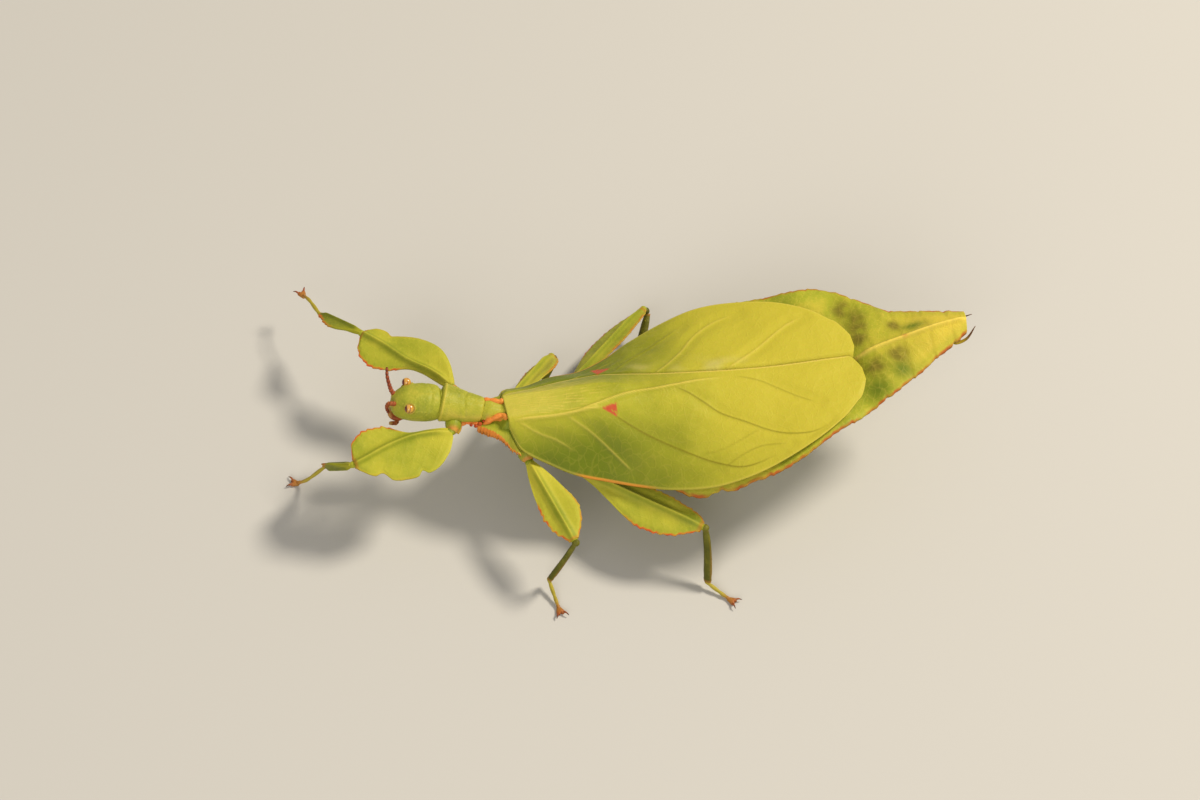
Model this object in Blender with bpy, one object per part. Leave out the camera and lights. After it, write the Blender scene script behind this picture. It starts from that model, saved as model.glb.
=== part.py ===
"""Leaf insect, an adult female, as a still life-size model standing on its six feet.

The sizes are in millimetres and MM turns them into metres. They are laid out in the
insect's own frame: the origin lies between the bases of the fore wings, +X points to
the insect's left, +Y to its tail and +Z up. One empty carries every part. It leans the
body as it stands, and puts the middle of the whole footprint at the world's origin,
with the floor at z = 0.
"""

import math

import bmesh
import bpy
from mathutils import Matrix, Vector
from mathutils.geometry import delaunay_2d_cdt

# Driving sizes of the whole insect, in millimetres and degrees
MM = 0.001
GAP = 0.3
STANDING_HEIGHT = 15.5
BODY_ROLL_DEG = 4.0
BODY_PITCH_DEG = 2.9
VANE_THICKNESS = 0.55
EDGE_TOOTH = 0.35

# The line through the middle of the thorax and head: wing base, neck joint, face
WING_BASE = Vector((0.0, 0.0, -1.9))
PROTHORAX_REAR = Vector((-1.0, -3.4, -1.3))
NECK = Vector((-2.8, -8.8, -0.5))
FACE = Vector((-3.5, -15.8, 0.15))

# Fore wings: half-width of the closed pair and height of its margin along the body
WING_FOLD = 2.0
LAP_SLOPE = 1.6
WING_CLEARANCE = 0.22
WING_MARGIN = (
    (-0.7, 2.6, -0.8), (0.3, 4.9, -2.4), (1.3, 5.7, -3.3), (3.6, 6.7, -4.5), (7.4, 8.6, -5.7),
    (12.0, 9.8, -6.8), (16.0, 11.4, -6.8), (20.0, 13.2, -6.0), (25.0, 14.7, -4.7),
    (29.5, 15.1, -3.1), (34.0, 14.4, -1.8), (40.0, 12.3, -0.3), (44.5, 9.7, 0.3), (47.2, 7.2, 0.3),
)
WING_TIP = ((5.8, 48.4), (4.0, 49.1), (2.0, 49.1), (0.6, 48.6))
LEFT_INNER_MARGIN = ((-0.3, 47.8), (-0.5, 41.0), (-1.0, 34.0), (-1.7, 28.0), (-3.0, 21.5),
                     (-4.6, 16.5), (-5.8, 12.0), (-4.7, 7.0), (-2.9, 0.8), (-2.3, -0.6))
RIGHT_INNER_MARGIN = ((1.2, 47.6), (1.6, 38.0), (1.8, 26.0), (2.2, 14.0), (2.4, 3.0), (1.8, 1.1))

# Veins of the left fore wing, from the root outward, and their ridge
VEIN_HALF_WIDTH = 0.42
VEIN_HEIGHT = 0.22
WING_VEINS = (
    ((2.1, 1.2), (1.9, 6.0), (1.7, 12.0), (1.1, 16.0), (0.3, 20.6), (0.0, 25.0), (-0.1, 30.2)),
    ((3.2, 2.6), (5.3, 5.6), (7.0, 8.0)),
    ((2.9, 9.0), (5.5, 10.9), (7.8, 12.6), (9.6, 14.2)),
    ((2.6, 13.8), (6.3, 17.3), (9.0, 21.2), (11.4, 25.6), (13.0, 30.0), (12.4, 34.6), (10.6, 40.5)),
    ((1.3, 24.5), (4.4, 28.0), (6.6, 31.2), (8.6, 35.4)),
    ((1.1, 33.2), (3.6, 36.8), (5.6, 40.6)),
)

# Abdomen: outline of each side beyond the wings, and the height of its ridge
ABDOMEN_FRONT = 9.1
ABDOMEN_REAR = 65.2
ABDOMEN_LEFT = (
    (4.4, 9.1), (6.4, 12.0), (9.0, 16.0), (12.2, 20.0), (14.2, 22.6), (14.9, 24.2), (14.7, 25.8),
    (15.4, 28.0), (15.1, 31.0), (15.0, 33.6), (13.4, 38.6), (11.1, 43.0), (9.7, 46.5),
    (8.3, 49.2), (7.1, 51.9), (5.7, 54.4), (4.2, 57.2), (2.4, 60.2), (1.2, 62.4), (-0.1, 64.6),
)
ABDOMEN_RIGHT = (
    (-3.5, 65.2), (-4.5, 63.3), (-5.5, 60.4), (-6.4, 57.6), (-7.4, 55.2), (-9.2, 53.2),
    (-11.6, 50.7), (-13.0, 49.2), (-14.2, 46.6), (-14.3, 43.1), (-14.3, 39.6), (-15.1, 34.0),
    (-15.3, 30.5), (-15.6, 27.0), (-15.0, 23.4), (-12.2, 20.0), (-9.0, 16.0), (-6.4, 12.0),
    (-4.4, 9.1),
)
ABDOMEN_RIDGE = ((44.0, -0.6), (47.0, -0.5), (49.5, 0.1), (52.0, 1.1), (56.0, 2.1), (60.0, 3.0),
                 (65.2, 3.5))
ABDOMEN_SLOPE = ((46.0, 0.03), (50.0, 0.06), (54.0, 0.16), (58.0, 0.28), (62.0, 0.35))
ABDOMEN_BEND_DEG = 5.0
ABDOMEN_BEND_START = 44.0
ABDOMEN_CORE_HALF_WIDTH = 3.9
ABDOMEN_CORE_DEPTH = 3.2
LAMELLA_THICKNESS = 0.6

# Legs: each joint's place. The hips and knees follow the stance, the feet the floor
FEMUR_THICKNESS = 1.5
SHAFT_HALF_WIDTH = 0.9
JOINT_GAP = 0.45
FOLD_GAP = 0.5
KNEE_DROP = 1.0
TARSUS_RADIUS = 0.36
FOOT_SINK = 0.12
CLAW_REACH = 0.9


def unit_profile(rows, place, column=1):
    """The value at a place of a smooth curve through rows, level beyond both ends."""
    if place <= rows[0][0]:
        return rows[0][column]
    if place >= rows[-1][0]:
        return rows[-1][column]
    index = max(k for k in range(len(rows) - 1) if rows[k][0] <= place)

    def slope(k):
        low, high = max(k - 1, 0), min(k + 1, len(rows) - 1)
        return (rows[high][column] - rows[low][column]) / (rows[high][0] - rows[low][0])

    start, end = rows[index], rows[index + 1]
    span = end[0] - start[0]
    t = (place - start[0]) / span
    return (
        (2 * t**3 - 3 * t**2 + 1) * start[column]
        + (t**3 - 2 * t**2 + t) * span * slope(index)
        + (3 * t**2 - 2 * t**3) * end[column]
        + (t**3 - t**2) * span * slope(index + 1)
    )


def clamp(value, low=0.0, high=1.0):
    return max(low, min(high, value))


def smooth_step(value):
    value = clamp(value)
    return value * value * (3 - 2 * value)


def spline(controls, step):
    """Points about step apart on a Catmull-Rom curve through the controls."""
    controls = [Vector(c) for c in controls]
    points = []
    for k in range(len(controls) - 1):
        a, b = controls[k], controls[k + 1]
        before = controls[k - 1] if k else a * 2 - b
        after = controls[k + 2] if k + 2 < len(controls) else b * 2 - a
        count = max(1, round((b - a).length / step))
        for j in range(count):
            t = j / count
            points.append(
                (a * 2 + (b - before) * t + (before * 2 - a * 5 + b * 4 - after) * t**2
                 + (a * 3 - before - b * 3 + after) * t**3) / 2
            )
    points.append(controls[-1])
    return points


def resample(points, step):
    """The same line with its points an equal distance apart."""
    lengths = [0.0]
    for a, b in zip(points, points[1:]):
        lengths.append(lengths[-1] + (b - a).length)
    count = max(2, round(lengths[-1] / step))
    found = []
    k = 0
    for j in range(count + 1):
        place = lengths[-1] * j / count
        while k < len(points) - 2 and lengths[k + 1] < place:
            k += 1
        share = (place - lengths[k]) / max(lengths[k + 1] - lengths[k], 1e-9)
        found.append(points[k].lerp(points[k + 1], clamp(share)))
    return found


def serrate(points, depth):
    """Every second point pushed out to the right of the line, as the teeth of a margin."""
    teeth = [p.copy() for p in points]
    for k in range(1, len(points) - 1, 2):
        along = (points[k + 1] - points[k - 1]).normalized()
        uneven = 0.75 + 0.25 * math.sin(2.3 * k)
        teeth[k] += Vector((along.y, -along.x)) * depth * uneven
    return teeth


def line_distance(point, line):
    """(distance to the line, how far along it that is as a share of its points)"""
    best = (1e9, 0.0)
    for k in range(len(line) - 1):
        a, b = line[k], line[k + 1]
        along = b - a
        t = clamp((point - a).dot(along) / max(along.length_squared, 1e-12))
        best = min(best, ((a + along * t - point).length, (k + t) / (len(line) - 1)))
    return best


def inside(point, outline):
    found = False
    for k in range(len(outline)):
        a, b = outline[k - 1], outline[k]
        if (a.y > point.y) != (b.y > point.y):
            if point.x < a.x + (b.x - a.x) * (point.y - a.y) / (b.y - a.y):
                found = not found
    return found


def ridge_height(point, ridges):
    """How far the ridges raise the surface at this point."""
    raised = 0.0
    for line, half_width, height in ridges:
        distance, place = line_distance(point, line)
        fade = clamp(min(place, 1 - place) * 6)
        raised = max(raised, height * fade * (1 - distance / half_width))
    return raised


def ridge_lines(line, half_width):
    """The crest of a ridge and its two feet, which meet at its ends."""
    feet = ([line[0]], [line[0]])
    for k in range(1, len(line) - 1):
        along = (line[k + 1] - line[k - 1]).normalized()
        across = Vector((-along.y, along.x)) * half_width
        feet[0].append(line[k] + across)
        feet[1].append(line[k] - across)
    for foot in feet:
        foot.append(line[-1])
    return (line, *feet)


def lattice(outline, lines, spacing):
    """Points of a triangular lattice inside the outline, clear of it and of the lines."""
    low = Vector((min(p.x for p in outline), min(p.y for p in outline)))
    high = Vector((max(p.x for p in outline), max(p.y for p in outline)))
    closed = [*outline, outline[0]]
    row_height = spacing * math.sqrt(3) / 2
    found = []
    for row in range(1, int((high.y - low.y) / row_height) + 1):
        for column in range(int((high.x - low.x) / spacing) + 2):
            point = low + Vector(((column - 0.5 * (row % 2)) * spacing, row * row_height))
            if not inside(point, outline):
                continue
            clear = min(line_distance(point, line)[0] for line in (closed, *lines))
            if clear > 0.42 * spacing:
                found.append(point)
    return found


def vane(outline, ridges, top, bottom, spacing, creases=()):
    """A thin solid over a flat outline, with ridges in its upper surface.

    Both faces are split into the same triangles, whose edges follow the ridges and the
    creases. top and bottom give each surface's height at (x, y).
    """
    crests = [resample(spline(line, 1.0), 1.6) for line, _, _ in ridges]
    folds = [(crest, width, height) for crest, (_, width, height) in zip(crests, ridges)]
    points = [p.copy() for p in outline]
    edges = []
    for crest, half_width, _ in folds:
        for line in ridge_lines(crest, half_width):
            first = len(points)
            points.extend(line)
            edges.extend((first + k, first + k + 1) for k in range(len(line) - 1))
    for crease in creases:
        first = len(points)
        points.extend(crease)
        edges.extend((first + k, first + k + 1) for k in range(len(crease) - 1))
    points.extend(lattice(outline, [*crests, *creases], spacing))
    flat, _, triangles, *_ = delaunay_2d_cdt(
        points, edges, [list(range(len(outline)))], 1, 1e-4
    )
    bm = bmesh.new()
    verts = [bm.verts.new((p.x, p.y, 0)) for p in flat]
    for triangle in triangles:
        bm.faces.new([verts[k] for k in triangle])
    loose = [v for v in bm.verts if not v.link_faces]
    bmesh.ops.delete(bm, geom=loose, context="VERTS")
    lower = list(bm.verts)
    grown = bmesh.ops.extrude_face_region(bm, geom=bm.faces[:] + bm.edges[:] + bm.verts[:])
    upper = [item for item in grown["geom"] if isinstance(item, bmesh.types.BMVert)]
    for vert in upper:
        vert.co.z = top(vert.co.x, vert.co.y) + ridge_height(vert.co.xy, folds)
    for vert in lower:
        vert.co.z = bottom(vert.co.x, vert.co.y)
    return bm


def loft(stations, sides):
    """A closed body through elliptic stations of (centre, half-width, half-height, aim).

    aim is the direction that the body runs in at that station.
    """
    bm = bmesh.new()
    rings = len(stations) + 1
    bmesh.ops.create_uvsphere(bm, u_segments=sides, v_segments=rings, radius=1)
    for vert in bm.verts:
        ring = round(math.acos(clamp(vert.co.z, -1, 1)) / math.pi * rings)
        angle = math.atan2(vert.co.y, vert.co.x)
        pole = ring in (0, rings)
        centre, half_width, half_height, aim = stations[clamp(ring - 1, 0, rings - 2)]
        across = aim.cross(Vector((0, 0, 1))).normalized()
        up = across.cross(aim).normalized()
        reach = 0 if pole else 1
        vert.co = (
            centre
            + across * half_width * math.cos(angle) * reach
            + up * half_height * math.sin(angle) * reach
        )
    return bm


def tube(points, radii, sides=8):
    """A round tube along points, as a loft of circles."""
    stations = []
    for k, point in enumerate(points):
        ahead = points[min(k + 1, len(points) - 1)]
        behind = points[max(k - 1, 0)]
        stations.append((point, radii[k], radii[k], (ahead - behind).normalized()))
    return loft(stations, sides)


def material(name, colour, roughness=0.5):
    made = bpy.data.materials.get(name)
    if made:
        return made
    made = bpy.data.materials.new(name)
    made.use_nodes = True
    shader = made.node_tree.nodes["Principled BSDF"]
    shader.inputs["Base Color"].default_value = (*colour, 1.0)
    shader.inputs["Roughness"].default_value = roughness
    shader.inputs["Metallic"].default_value = 0.0
    return made


WING_GREEN = ("wing_green", (0.38, 0.47, 0.06), 0.42)
BODY_GREEN = ("body_green", (0.24, 0.38, 0.05), 0.5)
LEG_GREEN = ("leg_green", (0.40, 0.46, 0.05), 0.48)
SHANK_GREEN = ("shank_green", (0.14, 0.22, 0.04), 0.5)
FOOT_BUFF = ("foot_buff", (0.52, 0.32, 0.13), 0.5)
FEELER_BROWN = ("feeler_brown", (0.30, 0.09, 0.03), 0.5)
EYE_CREAM = ("eye_cream", (0.75, 0.45, 0.16), 0.25)


def add_part(name, bm, look, carrier, collection, base=Vector((0, 0, 0)), turn=None):
    """Makes the mesh a named part, carried by the empty, with its origin at its base."""
    bmesh.ops.recalc_face_normals(bm, faces=bm.faces)
    if bm.calc_volume(signed=True) < 0:
        bmesh.ops.reverse_faces(bm, faces=bm.faces)
    place = Matrix.Translation(base) @ (turn.to_4x4() if turn else Matrix.Identity(4))
    if not turn:
        bm.transform(place.inverted())
    bm.transform(Matrix.Scale(MM, 4))
    mesh = bpy.data.meshes.new(name)
    bm.to_mesh(mesh)
    bm.free()
    mesh.materials.append(material(*look))
    mesh.shade_smooth()
    mesh.set_sharp_from_angle(angle=math.radians(40))
    part = bpy.data.objects.new(name, mesh)
    collection.objects.link(part)
    part.parent = carrier
    part.location = base * MM
    if turn:
        part.rotation_euler = turn.to_euler()
    return part


def joined(meshes):
    """One closed mesh from several that overlap."""
    helper = bpy.data.collections.new("pieces_to_join")
    bpy.context.scene.collection.children.link(helper)
    objects = []
    for k, bm in enumerate(meshes):
        bmesh.ops.recalc_face_normals(bm, faces=bm.faces)
        if bm.calc_volume(signed=True) < 0:
            bmesh.ops.reverse_faces(bm, faces=bm.faces)
        mesh = bpy.data.meshes.new(f"piece_{k}")
        bm.to_mesh(mesh)
        bm.free()
        piece = bpy.data.objects.new(f"piece_{k}", mesh)
        objects.append(piece)
        target = helper if k else bpy.context.scene.collection
        target.objects.link(piece)
    union = objects[0].modifiers.new("union", "BOOLEAN")
    union.operation = "UNION"
    union.operand_type = "COLLECTION"
    union.collection = helper
    union.solver = "EXACT"
    bpy.context.view_layer.update()
    evaluated = objects[0].evaluated_get(bpy.context.evaluated_depsgraph_get())
    result = bmesh.new()
    result.from_mesh(bpy.data.meshes.new_from_object(evaluated))
    for piece in objects:
        bpy.data.objects.remove(piece, do_unlink=True)
    bpy.data.collections.remove(helper)
    return largest_surface(result)


def cut_away(bm, cutters):
    """The mesh less each cutter."""
    mesh = bpy.data.meshes.new("blank")
    bm.to_mesh(mesh)
    bm.free()
    blank = bpy.data.objects.new("blank", mesh)
    bpy.context.scene.collection.objects.link(blank)
    tools = []
    for k, cutter in enumerate(cutters):
        bmesh.ops.recalc_face_normals(cutter, faces=cutter.faces)
        if cutter.calc_volume(signed=True) < 0:
            bmesh.ops.reverse_faces(cutter, faces=cutter.faces)
        tool_mesh = bpy.data.meshes.new(f"cutter_{k}")
        cutter.to_mesh(tool_mesh)
        cutter.free()
        tool = bpy.data.objects.new(f"cutter_{k}", tool_mesh)
        bpy.context.scene.collection.objects.link(tool)
        tools.append(tool)
        cut = blank.modifiers.new("cut", "BOOLEAN")
        cut.operation = "DIFFERENCE"
        cut.object = tool
        cut.solver = "EXACT"
    bpy.context.view_layer.update()
    evaluated = blank.evaluated_get(bpy.context.evaluated_depsgraph_get())
    result = bmesh.new()
    result.from_mesh(bpy.data.meshes.new_from_object(evaluated))
    for thing in (blank, *tools):
        bpy.data.objects.remove(thing, do_unlink=True)
    return largest_surface(result)


def largest_surface(bm):
    """Only the largest closed surface of the mesh, as triangles."""
    bmesh.ops.triangulate(bm, faces=bm.faces[:])
    bm.faces.ensure_lookup_table()
    seen = set()
    groups = []
    for start in bm.faces:
        if start in seen:
            continue
        group = {start}
        waiting = [start]
        while waiting:
            for edge in waiting.pop().edges:
                for face in edge.link_faces:
                    if face not in group:
                        group.add(face)
                        waiting.append(face)
        seen |= group
        groups.append(group)
    groups.sort(key=lambda faces: sum(f.calc_area() for f in faces))
    scraps = [face for group in groups[:-1] for face in group]
    bmesh.ops.delete(bm, geom=scraps, context="FACES")
    return bm


# The closed fore wings make a low roof, which the abdomen follows underneath


def roof(x, y):
    """Height of the upper surface of the closed fore wings."""
    half_width = unit_profile(WING_MARGIN, y)
    margin = unit_profile(WING_MARGIN, y, 2)
    half_width = max(half_width, 9.0 * smooth_step((y - 40) / 4))
    crown = 0.5 * smooth_step((y - 34) / 12)
    fold = WING_FOLD - 1.7 * smooth_step((y - 12) / 9)
    side = (abs(x) - fold) / (half_width - fold)
    return crown - (crown - margin) * max(side, 0.0) ** 1.1


def wing_outline(inner_margin, side):
    """The outline of one fore wing in plan, from its root round its outer margin."""
    outer = [(side * x, y) for y, x, _ in WING_MARGIN]
    tip = [(side * x, y) for x, y in WING_TIP]
    outer_edge = resample(spline(outer + tip, 1.0), 2.0)
    inner_edge = resample(spline(inner_margin, 1.0), 2.2)
    return outer_edge + inner_edge


def fore_wing(side):
    """One fore wing. The left lies over the right along the middle of the back."""
    inner = LEFT_INNER_MARGIN if side > 0 else RIGHT_INNER_MARGIN
    outline = wing_outline(inner, side)
    ridges = []
    for vein in WING_VEINS:
        line = [(side * x, y) for x, y in vein]
        if side < 0:
            line = [(x, y) for x, y in line if x < left_edge(y) - 0.8]
        if len(line) > 1:
            ridges.append((line, VEIN_HALF_WIDTH, VEIN_HEIGHT))

    def top(x, y):
        return roof(x, y) - (lap_step(min(x, 0.0), y) if side < 0 else 0.0)

    return vane(
        outline, ridges, top, lambda x, y: top(x, y) - VANE_THICKNESS, 2.4, [fold_line(side)]
    )


def fold_line(side):
    """Where the flat back of the closed wings turns down, on the wing that crosses over."""
    places = [2.0 + 2.0 * k for k in range(8)]
    return [Vector((-WING_FOLD if side > 0 else -WING_FOLD - 0.3, y)) for y in places]


def left_edge(y):
    """Where the left wing's inner margin lies over the right wing."""
    rows = [(place, x) for x, place in reversed(LEFT_INNER_MARGIN)]
    return unit_profile(rows, y)


def lap_step(x, y):
    """How much lower the right wing lies where the left one laps over it."""
    rows = [(place, x) for x, place in reversed(RIGHT_INNER_MARGIN)]
    from_left = smooth_step((x - left_edge(y) + LAP_SLOPE + 0.6) / LAP_SLOPE)
    from_right = smooth_step((unit_profile(rows, y) + LAP_SLOPE + 0.6 - x) / LAP_SLOPE)
    return (VANE_THICKNESS + GAP) * from_left * from_right


def under_wings(x, y):
    """Height of the body's upper surface where the wings lie on it."""
    return roof(x, y) - VANE_THICKNESS - GAP - WING_CLEARANCE - lap_step(x, y)


def abdomen_middle(y):
    return -math.tan(math.radians(ABDOMEN_BEND_DEG)) * max(y - ABDOMEN_BEND_START, 0.0)


def abdomen_top(x, y):
    """Under the wings the abdomen follows them, and past them it is its own low roof."""
    covered = under_wings(x, y)
    spread = abs(x - abdomen_middle(y))
    free = unit_profile(ABDOMEN_RIDGE, y) - unit_profile(ABDOMEN_SLOPE, y) * spread
    return covered + (free - covered) * smooth_step((y - 47.6) / 3.4)


def abdomen_depth(x, y):
    """Thickness from the thick middle of the abdomen to its thin leafy sides."""
    spread = abs(x - abdomen_middle(y)) / ABDOMEN_CORE_HALF_WIDTH
    along = smooth_step((y - ABDOMEN_FRONT + 6) / 6) * (1 - 0.9 * smooth_step((y - 30) / 36))
    return LAMELLA_THICKNESS + ABDOMEN_CORE_DEPTH * along * max(1 - spread**2, 0.0) ** 0.8


def abdomen():
    left = serrate(resample(spline(ABDOMEN_LEFT, 1.0), 1.5), EDGE_TOOTH)
    right = serrate(resample(spline(ABDOMEN_RIGHT, 1.0), 1.5), EDGE_TOOTH)
    midrib = [(abdomen_middle(y), y) for y in (49.6, 53.0, 57.0, 61.0, 64.6)]
    ribs = [(midrib, 0.7, 0.5)]
    return vane(
        left + right, ribs, abdomen_top,
        lambda x, y: abdomen_top(x, y) - abdomen_depth(x, y), 2.4,
    )


# Head and thorax


def spine_stations(rows, start, end):
    """Loft stations on the line from start to end, of (share, half-width, half-height, lift)."""
    aim = (end - start).normalized()
    stations = []
    for share, half_width, half_height, lift in rows:
        centre = start.lerp(end, share) + Vector((0, 0, lift))
        stations.append((centre, half_width, half_height, aim))
    return stations


EYE_RADIUS = 0.62
HEAD_AIM = (FACE - NECK).normalized()
HEAD_LEFT = Vector((-HEAD_AIM.y, HEAD_AIM.x, 0)).normalized()


def eye_centre(side):
    """The eyes stand out high on the head, a third of its length behind the face."""
    return NECK.lerp(FACE, 0.66) + HEAD_LEFT * side * 2.3 + Vector((0, 0, 1.45))


def sphere(centre, radius, detail=3):
    bm = bmesh.new()
    bmesh.ops.create_icosphere(bm, subdivisions=detail, radius=radius)
    bmesh.ops.translate(bm, verts=bm.verts, vec=centre)
    return bm


def head():
    rows = (
        (0.08, 2.0, 1.6, 0.0), (0.13, 2.5, 2.0, 0.0), (0.28, 2.8, 2.2, 0.0),
        (0.45, 2.8, 2.25, 0.0), (0.62, 2.65, 2.15, -0.05), (0.78, 2.3, 1.9, -0.15),
        (0.9, 1.75, 1.5, -0.3), (0.97, 1.0, 0.9, -0.4), (1.0, 0.4, 0.4, -0.45),
    )
    skull = loft(spine_stations(rows, NECK, FACE), 20)
    sockets = [sphere(eye_centre(side), EYE_RADIUS + GAP, 2) for side in (1, -1)]
    return cut_away(skull, sockets)


def mouthparts():
    """Upper lip, jaws and the four feelers of the mouth, in front of and under the face."""
    root = NECK.lerp(FACE, 0.74) - Vector((0, 0, 2.75))
    tip = root + HEAD_AIM * 2.1 + Vector((0, 0, 0.35))
    lip_rows = ((0.0, 0.7, 0.3, 0.0), (0.3, 1.15, 0.5, -0.05), (0.65, 1.1, 0.5, 0.0),
                (1.0, 0.6, 0.3, 0.1))
    pieces = [loft(spine_stations(lip_rows, root, tip), 10)]
    for side in (1, -1):
        out = HEAD_LEFT * side
        bend = root + HEAD_AIM * 0.9 + out * 0.8
        points = [bend, bend + out * 0.8 + HEAD_AIM * 0.2,
                  bend + out * 1.1 + HEAD_AIM * 1.1 - Vector((0, 0, 0.3))]
        pieces.append(tube(points, [0.28, 0.28, 0.26], 6))
    return joined(pieces)


# Steps of each antenna from its root: ahead, aside and up
ANTENNA_RIGHT = ((0.0, 0.0, 0.0), (0.25, 0.8, 0.3), (0.45, 2.0, 0.7), (0.4, 3.3, 0.95))
ANTENNA_LEFT = ((0.0, 0.0, 0.0), (0.55, -0.1, -0.2), (0.7, 0.0, -0.9), (0.5, 0.6, -1.8),
                (0.2, 1.0, -2.5))


def antenna(side):
    """A short string of beads. The right one stands out and the left bends down."""
    out = HEAD_LEFT * side
    root = FACE + out * 1.1 - HEAD_AIM * 0.3 + Vector((0, 0, 1.05))
    route = ANTENNA_LEFT if side > 0 else ANTENNA_RIGHT
    controls = [root + HEAD_AIM * ahead + out * aside + Vector((0, 0, rise))
                for ahead, aside, rise in route]
    points = resample(spline(controls, 0.2), 0.24)
    beads = [0.29 + 0.06 * math.cos(math.pi * k) for k in range(len(points))]
    return tube(points, beads, 7)


def prothorax(growth=0.0):
    rows = (
        (0.08, 1.55, 1.35, 0.0), (0.14, 1.8, 1.6, 0.05), (0.35, 2.1, 1.75, 0.0),
        (0.6, 2.5, 1.9, 0.0), (0.8, 2.75, 2.05, 0.05), (0.9, 2.85, 2.25, 0.05),
        (0.96, 2.7, 2.15, 0.05), (0.99, 2.2, 1.7, 0.0),
    )
    grown = [(share, width + growth, height + growth, lift) for share, width, height, lift in rows]
    return loft(spine_stations(grown, PROTHORAX_REAR, NECK), 20)


def mesothorax():
    """A short neck to the wings, with a toothed flange on each side down to the mid coxa."""
    rows = ((0.0, 1.55, 1.3, 0.0), (0.1, 1.85, 1.6, 0.0), (0.3, 1.75, 1.6, 0.0),
            (0.45, 1.5, 1.55, 0.0), (0.52, 1.8, 1.1, -1.3), (1.0, 2.2, 1.0, -1.6))
    front = PROTHORAX_REAR + (PROTHORAX_REAR - NECK).normalized() * 0.1
    back = Vector((0.0, 0.4, -2.1))
    core = loft(spine_stations(rows, front, back), 16)
    return joined([core, *(flange(side) for side in (1, -1))])


def flange(side):
    edge = spline(((1.9, -3.4), (3.0, -2.2), (4.1, -1.0), (5.1, -0.2), (5.7, 0.5)), 1.0)
    edge = serrate(resample(edge, 0.45), 0.3)
    inner = [Vector(p) for p in ((3.6, 0.7), (2.2, 0.4), (1.5, -0.8), (0.4, -1.7), (0.4, -3.0))]
    outline = [Vector((side * p.x, p.y)) for p in (*edge, *inner)]

    def top(x, y):
        under_wing_root = 1.1 * smooth_step((4.7 - abs(x)) / 1.6) * smooth_step((y + 1.9) / 1.2)
        return -0.75 - 0.72 * (abs(x) - 1.2) - under_wing_root

    def bottom(x, y):
        return top(x, y) - 0.6 - 1.3 * clamp((5.0 - abs(x)) / 3)

    return vane(outline, [], top, bottom, 1.6)


def metathorax():
    """The deep box of the body under the roots of the wings."""
    half_widths = ((1.3, 3.2), (3.0, 3.3), (5.0, 3.7), (7.0, 4.3), (8.7, 4.2))
    left = [(w, y) for y, w in half_widths]
    right = [(-w, y) for y, w in reversed(half_widths)]
    outline = resample(spline(left, 1.0), 1.3) + resample(spline(right, 1.0), 1.3)

    def top(x, y):
        return under_wings(x, y)

    def bottom(x, y):
        share = abs(x) / unit_profile(half_widths, y)
        return -6.7 + 0.7 * clamp(share) ** 4

    return vane(outline, [], top, bottom, 1.6)


# Legs


def floor_height(x, y):
    """Height of the floor under a point, in the insect's own leaning frame."""
    up = body_turn().to_3x3().inverted() @ Vector((0, 0, 1))
    return (-STANDING_HEIGHT - up.x * x - up.y * y) / up.z


def body_turn():
    roll = Matrix.Rotation(math.radians(-BODY_ROLL_DEG), 4, "Y")
    pitch = Matrix.Rotation(math.radians(BODY_PITCH_DEG), 4, "X")
    return roll @ pitch


def leg_frame(start, end, facing):
    """Axes of a leg piece: X along it, Z out of its flat side, as a rotation."""
    along = (end - start).normalized()
    normal = (facing - along * facing.dot(along)).normalized()
    across = normal.cross(along)
    return Matrix((along, across, normal)).transposed()


def leaf_piece(left_side, right_side, shaft, thickness, keel, teeth):
    """A flat leg piece: a thick shaft with a thin lobe on each side of it."""
    left = resample(spline(left_side, 0.6), 1.2)
    right = resample(spline(right_side, 0.6), 1.2)
    outline = toothed(right, teeth[1], 1) + toothed(left, teeth[0], -1)[::-1]
    middle = resample(spline(shaft, 1.0), 1.0)
    swell = (thickness - VANE_THICKNESS) / 2

    def half_depth(x, y):
        away, place = line_distance(Vector((x, y)), middle)
        end = 0.5 + 0.5 * smooth_step(8 * min(place, 1 - place))
        return VANE_THICKNESS / 2 + swell * end * clamp(1 - away / SHAFT_HALF_WIDTH) ** 0.7

    return vane(
        outline, [(shaft, 0.45, keel)], half_depth, lambda x, y: -half_depth(x, y), 1.7
    )


def toothed(points, span, side):
    """The line with teeth between two shares of its length, pointing out on its side."""
    if not span:
        return points
    first = int(span[0] * (len(points) - 1))
    last = int(span[1] * (len(points) - 1))
    fine = resample(points[first:last + 1], 0.62)
    depth = EDGE_TOOTH * span[2] * side
    return points[:first] + serrate(fine, depth) + points[last + 1:]


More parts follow.
